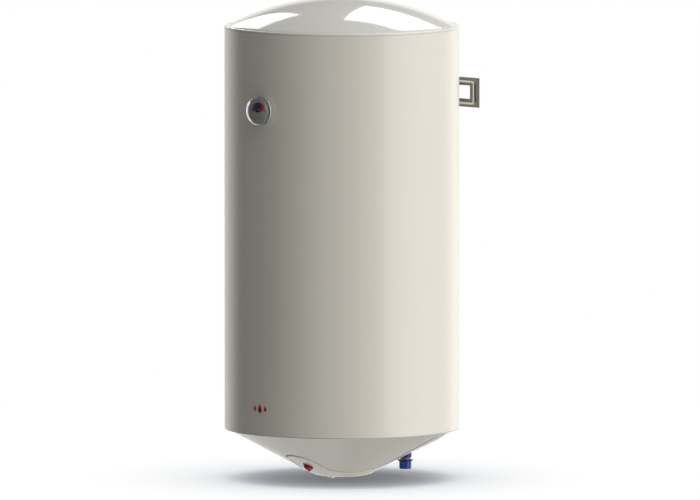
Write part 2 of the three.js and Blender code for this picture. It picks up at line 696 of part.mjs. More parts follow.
function thermometer(heater) {
  const dial = new THREE.Group();
  dial.position.set(DIAL_X, -BODY_R, DIAL_Z);
  dial.rotation.x = Math.PI / 2;
  heater.add(dial);

  const cup = turned([[0, -14], [22, -14], [22, 8.7], [20, 8.7], [20, -12], [0, -12]], 32);
  add(dial, "thermometer_housing", "blackPlastic", cup);

  const bezelRing = turned([
    [22.6, -4],
    [BEZEL_R, -4],
    [BEZEL_R, BEZEL_PROUD - 1.2],
    [BEZEL_R - 0.5, BEZEL_PROUD],
    [22.6, BEZEL_PROUD],
  ], 48);
  const jacket = rod(BODY_R + GAP, -40, 40, JACKET_SIDES)
    .rotateX(Math.PI / 2)
    .translate(-DIAL_X, 0, -BODY_R);
  add(dial, "thermometer_bezel", "silver", cut(bezelRing, jacket));
  add(dial, "thermometer_dial", "dialWhite", ring(1.4, 25.8, 9, 9.8, 40));
  const lensR = BEZEL_R - 0.5;
  const glass = turned([
    [0, LENS_PROUD - LENS_WALL],
    [14, LENS_PROUD - 1.9],
    [20.6, LENS_PROUD - 3],
    [24.2, LENS_PROUD - 5],
    [25.9, LENS_PROUD - 7.4],
    [lensR - LENS_WALL, 12],
    [lensR - LENS_WALL, BEZEL_PROUD + GAP],
    [lensR, BEZEL_PROUD + GAP],
    [lensR, 12],
    [lensR - 0.4, LENS_PROUD - 6.4],
    [25.6, LENS_PROUD - 3.4],
    [21.6, LENS_PROUD - 1.2],
    [15, LENS_PROUD - 0.2],
    [0, LENS_PROUD],
  ], 40);
  add(dial, "thermometer_glass", "glass", glass);

  // The needle points to nine o'clock, the cold end of its half-circle scale.
  const outline = [[-17.5, 0], [-2.4, -1.3], [7, -0.9], [7, 0.9], [-2.4, 1.3]];
  const blade = new THREE.Shape(outline.map(([x, y]) => point(x, y)));
  const eye = join(prism(blade, 12, 12.6), rod(2.6, 12, 12.6, 14));
  add(dial, "thermometer_needle", "redPlastic", cut(eye, rod(1.3, 11, 14, 16)));
  const hub = turned([
    [0, -6],
    [1, -6],
    [1, 11],
    [2.2, 11],
    [2.2, 11.7],
    [1, 11.7],
    [1, 12.9],
    [3, 12.9],
    [2.6, 14.2],
    [0, 14.4],
  ], 12);
  add(dial, "needle_hub", "blackPlastic", hub);

  const bulbY = -TANK_R - GAP - 2.4;
  const capillary = bent([
    [DIAL_X, -BODY_R + 14 + 2 * GAP, DIAL_Z - 6],
    [DIAL_X, -209, DIAL_Z - 6.2],
    [DIAL_X, bulbY, DIAL_Z - 18],
    [DIAL_X, bulbY, DIAL_Z - 36],
    [DIAL_X, bulbY, DIAL_Z - 47],
  ], 0.9, 12, 6);
  const bulb = rod(2.2, DIAL_Z - 102, DIAL_Z - 46, 12).translate(DIAL_X, bulbY, 0);
  add(heater, "thermometer_sensor", "copper", join(capillary, bulb));
}

// ---- Emblem: a plain water drop ----

function emblem(heater) {
  const radius = 7.5;
  const side = degrees(25);
  const waist = 0.45 * radius;
  const drop = new THREE.Shape();
  drop.absarc(0, 0, radius, Math.PI - side, 2 * Math.PI + side);
  drop.quadraticCurveTo(waist, 3 * waist, 0, 2.3 * radius);
  drop.quadraticCurveTo(-waist, 3 * waist, -radius * Math.cos(side), radius * Math.sin(side));
  const stamp = prism(drop, 200, 240, 12).rotateX(Math.PI / 2).translate(0, 0, EMBLEM_Z - radius / 2);
  const skin = ring(BODY_R + GAP, BODY_R + GAP + 0.9, EMBLEM_Z - 30, EMBLEM_Z + 30, JACKET_SIDES);
  add(heater, "emblem_drop", "redPlastic", common(skin, stamp));
}

// ---- Wall bracket, saddle and spacer ----

function rectangle(shape, x0, x1, y0, y1, radius) {
  shape.moveTo(x0 + radius, y0);
  shape.lineTo(x1 - radius, y0);
  shape.absarc(x1 - radius, y0 + radius, radius, -Math.PI / 2, 0);
  shape.absarc(x1 - radius, y1 - radius, radius, 0, Math.PI / 2);
  shape.absarc(x0 + radius, y1 - radius, radius, Math.PI / 2, Math.PI);
  shape.absarc(x0 + radius, y0 + radius, radius, Math.PI, 1.5 * Math.PI);
  return shape;
}

function wallBracket(part) {
  const windowFar = BRACKET_HALF_W - BRACKET_POST;
  const windowNear = windowFar - BRACKET_WINDOW;
  const windowTop = BRACKET_HALF_H - BRACKET_ARM;
  const [halfW, halfH] = [BRACKET_HALF_W, BRACKET_HALF_H];
  const plate = rectangle(new THREE.Shape(), -halfW, halfW, -halfH, halfH, 3);
  const sides = [-1, 1];
  const span = (side, a, b) => [Math.min(side * a, side * b), Math.max(side * a, side * b)];
  sides.forEach((side) => {
    const [x0, x1] = span(side, windowNear, windowFar);
    plate.holes.push(rectangle(new THREE.Path(), x0, x1, -windowTop, windowTop, 2));
  });

  // A pressed rib runs round each window, halfway along the arms and the upright.
  const ribs = sides.map((side) => {
    const flat = 4.5;
    const press = 3.4; // how far the rib's flanks spread
    const crest = 0.6;
    const [x0, x1] = span(side, windowNear - flat - 6, BRACKET_HALF_W - flat - press);
    const [h0, h1] = span(side, windowNear - flat - press, windowFar + flat + press);
    const outerTop = BRACKET_HALF_H - flat + 1 - press;
    const loop = rectangle(new THREE.Shape(), x0, x1, -outerTop, outerTop, 2);
    const innerTop = windowTop + flat + press - 1.5;
    loop.holes.push(rectangle(new THREE.Path(), h0, h1, -innerTop, innerTop, 2));
    const options = {
      depth: crest,
      bevelEnabled: true,
      bevelThickness: BRACKET_RIB - crest,
      bevelSize: press,
      bevelSegments: 2,
      curveSegments: 1,
    };
    const pressed = new THREE.ExtrudeGeometry(loop, options).translate(0, 0, BRACKET_PLATE - crest);
    return common(pressed, block([-200, 200], [-60, 60], [BRACKET_PLATE - 1, 20]));
  });
  const sink = [[0, -1], [8.6, -1], [4.5, BRACKET_PLATE + 0.2], [4.5, 6], [0, 6]];
  const screwHoles = sides.map((side) => turned(sink, 16).translate(side * SCREW_X, 0, 0));
  const bracket = cut(join(prism(plate, 0, BRACKET_PLATE, 2), ...ribs), ...screwHoles);
  add(part, "wall_bracket", "zinc", bracket.rotateX(Math.PI / 2));

  sides.forEach((side) => {
    const label = side < 0 ? "left" : "right";
    const seat = new THREE.Group();
    seat.position.x = side * SCREW_X;
    seat.rotation.x = Math.PI / 2;
    part.add(seat);
    const screw = turned([[0, 0.2], [7, 0.2], [7, 0.6], [4, BRACKET_PLATE + 0.4], [4, 17], [0, 17]], 16);
    add(seat, `bracket_screw_${label}`, "steel", cut(screw, hexagon(5, -1, 1.6)));
  });
}

function hangerSaddle(heater) {
  const rearY = AXIS_TO_WALL - BRACKET_PLATE - GAP;
  const outside = block([-SADDLE_HALF_W, SADDLE_HALF_W], [180, rearY], [-SADDLE_HALF_H, SADDLE_HALF_H]);
  const insideH = SADDLE_HALF_H - SADDLE_SHEET;
  const inside = block([-60, 60], [150, rearY - SADDLE_SHEET], [-insideH, insideH]);
  const tankSide = rod(TANK_R + GAP, -60, 60, BODY_SIDES);
  const facing = (geometry, x) => geometry.rotateX(Math.PI / 2).translate(x, 0, 0);
  const weldNuts = [-SCREW_X, SCREW_X].map((x) => facing(hexagon(13, -rearY + 2, -rearY + 9), x));
  const holes = [-SCREW_X, SCREW_X].map((x) => facing(rod(4.3, -260, -200, 20), x));
  add(heater, "hanger_saddle", "zinc", cut(join(cut(outside, inside, tankSide), ...weldNuts), ...holes));

  const edge = 6;
  const skin = ring(BODY_R + GAP, BODY_R + 2.3, -60, 60, JACKET_SIDES);
  const around = (margin) => {
    const halfW = SADDLE_HALF_W + margin;
    const halfH = SADDLE_HALF_H + margin;
    return block([-halfW, halfW], [190, 240], [-halfH, halfH]);
  };
  add(heater, "saddle_seal", "rubber", cut(common(skin, around(edge)), around(GAP)));
}

function lowerSpacer(heater) {
  const padBack = 3.5;
  const faceY = AXIS_TO_WALL - padBack - GAP;
  const shape = rectangle(new THREE.Shape(), -30, 30, -14, 14, 5);
  const foot = prism(shape, -faceY, -210, 4).rotateX(Math.PI / 2);
  const peg = rod(4.8, -226, -211, 16).rotateX(Math.PI / 2);
  const jacket = rod(BODY_R + GAP, -40, 40, JACKET_SIDES);
  add(heater, "lower_spacer", "blackPlastic", join(cut(foot, jacket), peg).translate(0, 0, SPACER_Z));
  const pad = rectangle(new THREE.Shape(), -28, 28, -12, 12, 4);
  const cushion = prism(pad, -AXIS_TO_WALL, -AXIS_TO_WALL + padBack, 4).rotateX(Math.PI / 2);
  add(heater, "spacer_pad", "rubber", cushion.translate(0, 0, SPACER_Z));
}

// ---- Assembly ----

const part = new THREE.Group();
const heater = new THREE.Group(); // its own axis is the tank's axis
heater.position.y = -AXIS_TO_WALL;
part.add(heater);

[
  outerShell, topCap, bottomCap, serviceCover, cableGland, thermostat, thermostatSensor, safetyCutout,
  tank, pipes, flange, heatingElement, wiring, insulation, thermometer, emblem, hangerSaddle, lowerSpacer,
].forEach((make) => make(heater));
wallBracket(part);

export default part;
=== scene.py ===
import math

import bmesh
import bpy
import numpy as np
from mathutils import Matrix, Vector


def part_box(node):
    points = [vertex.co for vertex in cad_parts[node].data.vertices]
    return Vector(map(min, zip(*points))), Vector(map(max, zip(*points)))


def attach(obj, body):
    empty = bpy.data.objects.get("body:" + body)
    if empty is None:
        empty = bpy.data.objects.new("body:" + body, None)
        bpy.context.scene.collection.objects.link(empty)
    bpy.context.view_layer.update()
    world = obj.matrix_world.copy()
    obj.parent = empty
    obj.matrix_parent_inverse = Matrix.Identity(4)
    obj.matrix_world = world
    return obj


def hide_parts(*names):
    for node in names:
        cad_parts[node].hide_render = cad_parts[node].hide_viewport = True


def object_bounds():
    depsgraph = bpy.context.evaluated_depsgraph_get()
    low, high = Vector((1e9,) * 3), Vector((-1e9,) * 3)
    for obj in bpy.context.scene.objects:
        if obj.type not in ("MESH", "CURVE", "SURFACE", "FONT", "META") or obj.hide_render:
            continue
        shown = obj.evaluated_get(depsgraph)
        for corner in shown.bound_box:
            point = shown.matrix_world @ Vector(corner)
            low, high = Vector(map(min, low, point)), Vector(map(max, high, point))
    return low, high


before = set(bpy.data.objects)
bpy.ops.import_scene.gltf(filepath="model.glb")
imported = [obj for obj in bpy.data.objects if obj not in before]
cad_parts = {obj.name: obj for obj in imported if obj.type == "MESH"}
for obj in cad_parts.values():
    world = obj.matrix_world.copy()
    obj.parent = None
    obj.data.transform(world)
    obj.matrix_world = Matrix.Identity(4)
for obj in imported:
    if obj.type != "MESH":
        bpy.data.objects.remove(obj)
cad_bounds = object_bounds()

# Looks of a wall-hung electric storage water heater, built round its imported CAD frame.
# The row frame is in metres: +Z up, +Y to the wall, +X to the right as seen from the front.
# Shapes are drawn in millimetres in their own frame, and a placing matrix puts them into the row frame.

# ---- Driving sizes, in millimetres, from the CAD frame ----

MM = 0.001
shell_low, shell_high = (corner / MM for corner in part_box("outer_shell"))
BODY_R = (shell_high.x - shell_low.x) / 2
AXIS_Y = (shell_high.y + shell_low.y) / 2
TOP = shell_high.z
BOTTOM = shell_low.z
SHEET = 1.5
GAP = 0.3  # clearance between pieces that touch
CAP_WALL = 2.5
SPIGOT = 15  # how far a cap reaches into the jacket
SPIGOT_R = BODY_R - SHEET - GAP
SPACER_Z = -480

cap_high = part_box("top_cap")[1].z / MM
DOME_R = 472
BEAD_W = 9
BEAD_H = 4.2

CONE_ANGLE = math.radians(28.2)
CONE_SLOPE = math.tan(CONE_ANGLE)
CONE_TOP_R = 221.6
FOOT_R = 50
FOOT_BLEND = 12
COVER_CENTRE = np.array([0.0, 50.0])  # every ray from here meets the cover's outline once
COVER_GROOVE = 1.8
COVER_RIM = 1.7  # how far the cover's rim stands proud of the cone
COVER_RIM_WIDTH = 5
EDGE_R = 0.7  # rounding of the moulded edges on both sides of the groove
SCREW_RECESS = 1.2  # how much deeper the cover's screws sit than in the CAD
KNOB_Y = -92
GLAND_Y = -29

PIPE_X = 50
PIPE_Y = 123.5
THREAD_R = 10.48
THREAD_PITCH = 1.814
THREAD_DEPTH = 1.16
PIPE_BORE_R = 8

bezel_low, bezel_high = (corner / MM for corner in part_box("thermometer_bezel"))
BEZEL_R = (bezel_high.x - bezel_low.x) / 2
DIAL_X = (bezel_high.x + bezel_low.x) / 2
DIAL_Z = (bezel_high.z + bezel_low.z) / 2

bracket_low, bracket_high = (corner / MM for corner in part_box("wall_bracket"))
BRACKET_DEPTH = bracket_high.y - bracket_low.y

# ---- Placing matrices: from millimetres in a piece's own frame to the row frame ----

SCALE = Matrix.Scale(MM, 4)
HEATER = SCALE @ Matrix.Translation((0, AXIS_Y, 0))
UPRIGHT = Matrix.Rotation(math.pi / 2, 4, "X")  # turns +Z to the front
DIAL = HEATER @ Matrix.Translation((DIAL_X, -BODY_R, DIAL_Z)) @ UPRIGHT
BRACKET = SCALE @ UPRIGHT


def cone_z(r):
    """Height of the bottom cap's outer surface at a radius, its foot rounded into the flat underside."""
    r = np.asarray(r, float)
    foot_z = BOTTOM - CONE_SLOPE * (CONE_TOP_R - FOOT_R)
    start = FOOT_R - FOOT_BLEND
    end = FOOT_R + FOOT_BLEND * math.cos(CONE_ANGLE)
    bow = end - start - 2 * FOOT_BLEND
    inside = np.clip(r - start, 0, end - start)
    t = (FOOT_BLEND - np.sqrt(np.maximum(FOOT_BLEND**2 + bow * inside, 0))) / -bow
    rise = CONE_SLOPE * (end - FOOT_R)
    return np.where(r > end, BOTTOM - CONE_SLOPE * (CONE_TOP_R - r), foot_z + rise * t**2)


def on_cone(x, y):
    """A frame on the cone, its +Z out of the surface and its +Y up the slope."""
    turn = Matrix.Rotation(math.atan2(x, -y), 4, "Z") @ Matrix.Rotation(math.pi - CONE_ANGLE, 4, "X")
    return HEATER @ Matrix.Translation((x, y, float(cone_z(math.hypot(x, y))))) @ turn


# ---- Mesh helpers ----


def new_mesh(name, vertices, faces, place):
    mesh = bpy.data.meshes.new(name)
    mesh.from_pydata([tuple(v) for v in vertices], [], [tuple(f) for f in faces])
    mesh.transform(place)
    return mesh


def new_object(name, data):
    thing = bpy.data.objects.new(name, data)
    bpy.context.scene.collection.objects.link(thing)
    return thing


def make_piece(name, vertices, faces, place, material, body="heater", slot=None, replaces=(), sharp=40):
    """A mesh object from millimetre vertices, shaded smooth except at edges sharper than an angle."""
    mesh = new_mesh(name, vertices, faces, place)
    bm = bmesh.new()
    bm.from_mesh(mesh)
    bmesh.ops.remove_doubles(bm, verts=bm.verts, dist=1e-7)
    bmesh.ops.recalc_face_normals(bm, faces=bm.faces)
    bm.to_mesh(mesh)
    bm.free()
    mesh.polygons.foreach_set("use_smooth", [True] * len(mesh.polygons))
    mesh.set_sharp_from_angle(angle=math.radians(sharp))
    piece = new_object(name, mesh)
    mesh.materials.append(material)
    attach(piece, body)
    if replaces:
        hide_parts(*replaces)
    return piece


def full_turn(steps):
    """Evenly spaced angles once round. The last stops short of the first."""
    return np.linspace(0, 2 * math.pi, steps, endpoint=False)


def circle(radius, z, steps=64):
    return [(radius * math.cos(a), radius * math.sin(a), z) for a in full_turn(steps)]


def loft(rings, closed=False):
    """Vertices and quads through rings of equal length. An end ring of one point becomes a pole."""
    vertices, starts = [], []
    for ring in rings:
        starts.append(len(vertices))
        vertices.extend(ring)
    faces = []
    count = max(len(ring) for ring in rings)
    pairs = list(zip(range(len(rings)), range(1, len(rings))))
    if closed:
        pairs.append((len(rings) - 1, 0))
    for a, b in pairs:
        for i in range(count):
            j = (i + 1) % count
            corners = [starts[a] + i, starts[a] + j, starts[b] + j, starts[b] + i]
            if len(rings[a]) == 1:
                corners = [starts[a], starts[b] + j, starts[b] + i]
            elif len(rings[b]) == 1:
                corners = [starts[a] + i, starts[a] + j, starts[b]]
            faces.append(corners)
    return vertices, faces


def lathe(profile, segments=96):
    """A [radius, z] profile turned about Z. It closes on itself, or starts and ends on the axis."""
    angles = full_turn(segments)
    rings = []
    for r, z in profile:
        if r == 0:
            rings.append([(0, 0, z)])
        else:
            rings.append([(r * math.sin(a), -r * math.cos(a), z) for a in angles])
    return loft(rings, closed=profile[0][0] != 0)


def rounded(points, steps=5, closed=True):
    """A polyline with its corners rounded. A point may carry a third number, its corner's radius."""
    made = []
    count = len(points)
    for i, point in enumerate(points):
        here = np.array(point[:2], float)
        radius = point[2] if len(point) > 2 else 0
        at_end = not closed and i in (0, count - 1)
        if radius == 0 or at_end:
            made.append(tuple(here))
            continue
        before = np.array(points[i - 1][:2], float) - here
        after = np.array(points[(i + 1) % count][:2], float) - here
        lengths = np.linalg.norm(before), np.linalg.norm(after)
        cosine = np.clip(before @ after / (lengths[0] * lengths[1]), -1, 1)
        reach = radius / math.tan(math.acos(cosine) / 2)
        start = here + before / lengths[0] * min(reach, 0.49 * lengths[0])
        end = here + after / lengths[1] * min(reach, 0.49 * lengths[1])
        for t in np.linspace(0, 1, steps + 1):
            made.append(tuple(start * (1 - t) ** 2 + here * 2 * t * (1 - t) + end * t**2))
    return made


def rectangle(x0, x1, y0, y1, low_round=0, high_round=0):
    """An outline, or a plain ring's profile for lathe. Its two corners at x1 may be rounded."""
    return rounded([(x0, y0), (x1, y0, low_round), (x1, y1, high_round), (x0, y1)])


def prism(outline, z0, z1):
    """A closed outline pulled from z0 to z1, with an n-gon at each end."""
    count = len(outline)
    vertices = [(x, y, z0) for x, y in outline] + [(x, y, z1) for x, y in outline]
    sides = [(i, (i + 1) % count, count + (i + 1) % count, count + i) for i in range(count)]
    return vertices, [list(range(count))[::-1], list(range(count, 2 * count)), *sides]


def merged(*solids):
    """Several (vertices, faces) solids as one."""
    vertices, faces = [], []
    for solid_vertices, solid_faces in solids:
        offset = len(vertices)
        vertices.extend(solid_vertices)
        faces.extend([offset + i for i in face] for face in solid_faces)
    return vertices, faces


def moved(solid, matrix):
    vertices, faces = solid
    return [tuple(matrix @ Vector(v)) for v in vertices], faces


def settle(piece):
    """Puts the result of a piece's modifiers into its mesh."""
    graph = bpy.context.evaluated_depsgraph_get()
    settled = bpy.data.meshes.new_from_object(piece.evaluated_get(graph))
    piece.modifiers.clear()
    piece.data = settled


def add_bevel(piece, width, segments, angle):
    """A bevel of a width in millimetres on the edges sharper than an angle."""
    bevel = piece.modifiers.new("edges", "BEVEL")
    bevel.width = width * MM
    bevel.segments = segments
    bevel.limit_method = "ANGLE"
    bevel.angle_limit = math.radians(angle)


def soften(piece, width, segments, angle=30):
    """Bevels a piece's edges, and settles the result into its mesh."""
    add_bevel(piece, width, segments, angle)
    weighted = piece.modifiers.new("normals", "WEIGHTED_NORMAL")
    weighted.keep_sharp = True
    settle(piece)


def cut_with(piece, solids):
    """Cuts closed millimetre solids, each with its placing matrix, out of a piece."""
    cutters = [new_object("cutter", new_mesh("cutter", *solid, place)) for solid, place in solids]
    for i, cutter in enumerate(cutters):
        modifier = piece.modifiers.new(f"cut_{i}", "BOOLEAN")
        modifier.operation = "DIFFERENCE"
        modifier.solver = "EXACT"
        modifier.object = cutter
    settle(piece)
    for cutter in cutters:
        bpy.data.objects.remove(cutter)
    piece.data.set_sharp_from_angle(angle=math.radians(40))


def refined(node, material, width, segments=2, slot=None):
    """A CAD node's own shape with softened edges, in place of the node."""
    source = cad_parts[node].data
    vertices = [v.co / MM for v in source.vertices]
    faces = [list(p.vertices) for p in source.polygons]
    piece = make_piece(f"{node}_fine", vertices, faces, SCALE, material,
                       slot=slot, replaces=[node], sharp=30)
    bm = bmesh.new()
    bm.from_mesh(piece.data)
    bmesh.ops.dissolve_limit(bm, angle_limit=math.radians(1), verts=bm.verts, edges=bm.edges)
    bm.to_mesh(piece.data)
    bm.free()
    soften(piece, width, segments)
    return piece


# ---- Materials ----


class Nodes:
    """A material's node tree, with short ways to add textures in the object's own coordinates."""

    def __init__(self, name, colour, roughness, metallic=0.0):
        self.material = bpy.data.materials.new(name)
        self.material.use_nodes = True
        self.tree = self.material.node_tree
        self.shader = self.tree.nodes["Principled BSDF"]
        self.shader.inputs["Base Color"].default_value = (*colour, 1)
        self.shader.inputs["Roughness"].default_value = roughness
        self.shader.inputs["Metallic"].default_value = metallic
        self.material.diffuse_color = (*colour, 1)
        self.colour = colour
        self.roughness = roughness
        self.where = self.add("ShaderNodeTexCoord").outputs["Object"]

    def add(self, kind, **settings):
        node = self.tree.nodes.new(kind)
        for key, value in settings.items():
            setattr(node, key, value)
        return node

    def link(self, source, target):
        self.tree.links.new(source, target)

    def stretched(self, scale):
        """Object coordinates scaled by a different amount along each axis."""
        mapping = self.add("ShaderNodeMapping")
        mapping.inputs["Scale"].default_value = scale
        self.link(self.where, mapping.inputs["Vector"])
        return mapping.outputs["Vector"]

    def noise(self, scale, detail=3.0, where=None):
        texture = self.add("ShaderNodeTexNoise")
        texture.inputs["Scale"].default_value = scale
        texture.inputs["Detail"].default_value = detail
        self.link(where or self.where, texture.inputs["Vector"])
        return texture.outputs["Fac"]

    def ramp(self, value, stops):
        """A colour ramp with (position, colour) stops."""
        node = self.add("ShaderNodeValToRGB")
        elements = node.color_ramp.elements
        while len(elements) < len(stops):
            elements.new(0.5)
        for element, (position, colour) in zip(elements, stops):
            element.position = position
            element.color = (*colour, 1)
        self.link(value, node.inputs["Fac"])
        return node.outputs["Color"]

    def cells(self, scale):
        """Small random cells, as a Voronoi texture node."""
        texture = self.add("ShaderNodeTexVoronoi")
        texture.inputs["Scale"].default_value = scale
        self.link(self.where, texture.inputs["Vector"])
        return texture

    def axis(self, name, where=None):
        """One coordinate of a vector, or of the object's own coordinates."""
        split = self.add("ShaderNodeSeparateXYZ")
        self.link(where or self.where, split.inputs["Vector"])
        return split.outputs[name]

    def between(self, value, low, high, start=0, end=1):
        """A value that goes from start to end, mapped to low to high."""
        node = self.add("ShaderNodeMapRange")
        node.inputs["From Min"].default_value = start
        node.inputs["From Max"].default_value = end
        node.inputs["To Min"].default_value = low
        node.inputs["To Max"].default_value = high
        self.link(value, node.inputs["Value"])
        return node.outputs["Result"]

    def tint(self, value, spread):
        """Base colour that drifts by a small share of itself."""
        darker = tuple(c * (1 - spread) for c in self.colour)
        lighter = tuple(min(1, c * (1 + spread)) for c in self.colour)
        self.link(self.ramp(value, [(0.3, darker), (0.7, lighter)]), self.shader.inputs["Base Color"])

    def gloss(self, value, spread):
        """Roughness that drifts either side of its mean."""
        drift = self.between(value, self.roughness - spread, self.roughness + spread)
        self.link(drift, self.shader.inputs["Roughness"])

    def bump(self, value, height_mm):
        node = self.add("ShaderNodeBump")
        node.inputs["Strength"].default_value = 1
        node.inputs["Distance"].default_value = height_mm * MM
        self.link(value, node.inputs["Height"])
        self.link(node.outputs["Normal"], self.shader.inputs["Normal"])


def enamel_paint():
    """Baked powder paint on sheet steel: warm white, with a faint orange peel."""
    nodes = Nodes("jacket_paint", (0.82, 0.79, 0.715), 0.26)
    nodes.shader.inputs["IOR"].default_value = 1.5
    nodes.tint(nodes.noise(6), 0.012)
    nodes.gloss(nodes.noise(30), 0.02)
    nodes.bump(nodes.noise(420, 1), 0.012)
    return nodes.material


def moulded(name, colour, roughness, grain=900, height=0.01, spread=0.02):
    """Moulded plastic: fine grain, slight drift in colour and gloss."""
    nodes = Nodes(name, colour, roughness)
    nodes.tint(nodes.noise(25), spread)
    nodes.gloss(nodes.noise(120), 0.03)
    nodes.bump(nodes.noise(grain, 2), height)
    return nodes.material


def zinc_nodes(name, colour, roughness):
    """Zinc plated steel: small crystals of slightly different brightness under a rolled grain."""
    nodes = Nodes(name, colour, roughness, 1.0)
    shade = nodes.add("ShaderNodeSeparateColor")
    nodes.link(nodes.cells(260).outputs["Color"], shade.inputs["Color"])
    nodes.tint(shade.outputs["Red"], 0.08)
    rolled = nodes.noise(60, 4, nodes.stretched((1, 12, 12)))
    nodes.gloss(rolled, 0.07)
    nodes.bump(rolled, 0.01)
    return nodes


def crest_highlight_zinc(name, colour, roughness, highlight_colour, start, end):
    """Zinc plate with a painted highlight, pale and dull where it rises, from start to end in millimetres
    off the wall.
    """
    nodes = zinc_nodes(name, colour, roughness)
    base = nodes.shader.inputs["Base Color"]
    # Painted highlight: the higher the rib, the paler and less metallic the zinc, so that its crest shows
    # bright.
    crest_highlight = nodes.between(nodes.axis("Y"), 0, 1, -start * MM, -end * MM)
    mix = nodes.add("ShaderNodeMixRGB")
    nodes.link(crest_highlight, mix.inputs["Fac"])
    nodes.link(base.links[0].from_socket, mix.inputs["Color1"])
    mix.inputs["Color2"].default_value = (*highlight_colour, 1)
    nodes.link(mix.outputs["Color"], base)
    nodes.link(nodes.between(crest_highlight, 1, 0.1), nodes.shader.inputs["Metallic"])
    return nodes.material


def rubber():
    nodes = Nodes("rubber", (0.022, 0.022, 0.023), 0.75)
    nodes.tint(nodes.noise(80), 0.25)
    nodes.gloss(nodes.noise(200), 0.06)
    nodes.bump(nodes.noise(1500, 2), 0.02)
    return nodes.material


def foam():
    """Polyurethane foam: pale yellow, open cells, with darker skin in places."""
    nodes = Nodes("foam", (0.78, 0.64, 0.34), 0.95)
    nodes.tint(nodes.noise(18, 5), 0.14)
    nodes.bump(nodes.cells(700).outputs["Distance"], 0.35)
    return nodes.material


def enamelled_steel():
    """Glass enamel fired on steel: dark blue with fine speckles."""
    nodes = Nodes("enamelled_steel", (0.035, 0.07, 0.13), 0.28)
    nodes.tint(nodes.noise(900, 2), 0.35)
    nodes.gloss(nodes.noise(40), 0.06)
    nodes.bump(nodes.noise(120, 3), 0.05)
    return nodes.material


def drawn_metal(name, colour, roughness):
    """Drawn tube or bar: fine lines along its length, and patches of tarnish."""
    nodes = Nodes(name, colour, roughness, 1.0)
    nodes.tint(nodes.noise(40, 5), 0.16)
    drawn = nodes.noise(500, 3, nodes.stretched((1, 1, 0.03)))
    nodes.gloss(drawn, 0.08)
    nodes.bump(drawn, 0.01)
    return nodes.material


def bezel_silver():
    """Vacuum plated plastic: a bright, nearly smooth metal coat."""
    nodes = Nodes("bezel_silver", (0.68, 0.68, 0.66), 0.24, 0.75)
    nodes.tint(nodes.noise(90), 0.03)
    nodes.gloss(nodes.noise(60), 0.03)
    nodes.bump(nodes.noise(800, 2), 0.004)
    return nodes.material


def dial_centre(nodes):
    """Object coordinates measured from the dial's centre."""
    mapping = nodes.add("ShaderNodeMapping")
    centre = DIAL @ Vector((0, 0, 0))
    mapping.inputs["Location"].default_value = tuple(-c for c in centre)
    nodes.link(nodes.where, mapping.inputs["Vector"])
    return mapping.outputs["Vector"]


def scale_print():
    """The dial's half circle of colour, from blue at nine o'clock to red at three, darkest at twelve with
    painted shade from the bezel's lip.
    """
    nodes = Nodes("scale_print", (0.5, 0.5, 0.5), 0.42)
    centred = dial_centre(nodes)
    leftward = nodes.add("ShaderNodeMath", operation="MULTIPLY")
    leftward.inputs[1].default_value = -1
    nodes.link(nodes.axis("X", centred), leftward.inputs[0])
    turn = nodes.add("ShaderNodeMath", operation="ARCTAN2")
    nodes.link(nodes.axis("Z", centred), turn.inputs[0])
    nodes.link(leftward.outputs["Value"], turn.inputs[1])
    share = nodes.between(turn.outputs["Value"], 0, 1, 0, math.pi)
    # Painted shade: the printed colours darken towards twelve o'clock, where the bezel's lip shades the
    # dial.
    hues_and_shade = [
        (0.0, (0.22, 0.24, 0.42)),
        (0.30, (0.10, 0.12, 0.36)),
        (0.47, (0.04, 0.05, 0.22)),
        (0.53, (0.30, 0.02, 0.06)),
        (0.75, (0.42, 0.05, 0.04)),
        (1.0, (0.55, 0.20, 0.08)),
    ]
    nodes.link(nodes.ramp(share, hues_and_shade), nodes.shader.inputs["Base Color"])
    nodes.gloss(nodes.noise(300), 0.04)
    return nodes.material


def clear_lens():
    """Moulded clear plastic."""
    nodes = Nodes("clear_lens", (0.97, 0.98, 0.98), 0.05)
    nodes.shader.inputs["Transmission Weight"].default_value = 1.0
    nodes.shader.inputs["IOR"].default_value = 1.49
    nodes.gloss(nodes.noise(50), 0.015)
    return nodes.material


PAINT = enamel_paint()
LID = moulded("cap_plastic", (0.80, 0.79, 0.76), 0.07, 300, 0.004, 0.008)
CONE = moulded("cone_plastic", (0.72, 0.695, 0.635), 0.22, 900, 0.006, 0.008)
COVER = moulded("cover_plastic", (0.80, 0.78, 0.71), 0.2, 900, 0.006, 0.008)
NYLON = moulded("white_nylon", (0.86, 0.86, 0.82), 0.4, 1200, 0.012)
BLACK = moulded("black_plastic", (0.022, 0.022, 0.024), 0.42, 1400, 0.015, 0.15)
KNOB_RED = moulded("knob_red", (0.42, 0.012, 0.014), 0.3, 1200, 0.008, 0.06)
HOT_RED = moulded("hot_red", (0.46, 0.015, 0.015), 0.32, 1200, 0.008, 0.05)
COLD_BLUE = moulded("cold_blue", (0.008, 0.055, 0.33), 0.3, 1200, 0.008, 0.05)
COLLAR_BLUE = moulded("collar_blue", (0.03, 0.015, 0.33), 0.34, 1200, 0.008, 0.05)
NEEDLE_RED = moulded("needle_red", (0.5, 0.02, 0.02), 0.4, 1500, 0.004, 0.04)
EMBLEM_RED = moulded("emblem_red", (0.40, 0.008, 0.012), 0.22, 1500, 0.003, 0.04)
DIAL_CARD = moulded("dial_face", (0.56, 0.56, 0.545), 0.5, 1500, 0.004, 0.03)
TICK_INK = moulded("tick_ink", (0.03, 0.03, 0.032), 0.5, 1500, 0.002, 0.1)
ZINC = zinc_nodes("zinc", (0.62, 0.62, 0.6), 0.34).material
DARK_ZINC = ((0.24, 0.235, 0.215), 0.24)
BRACKET_ZINC = zinc_nodes("bracket_zinc", *DARK_ZINC).material
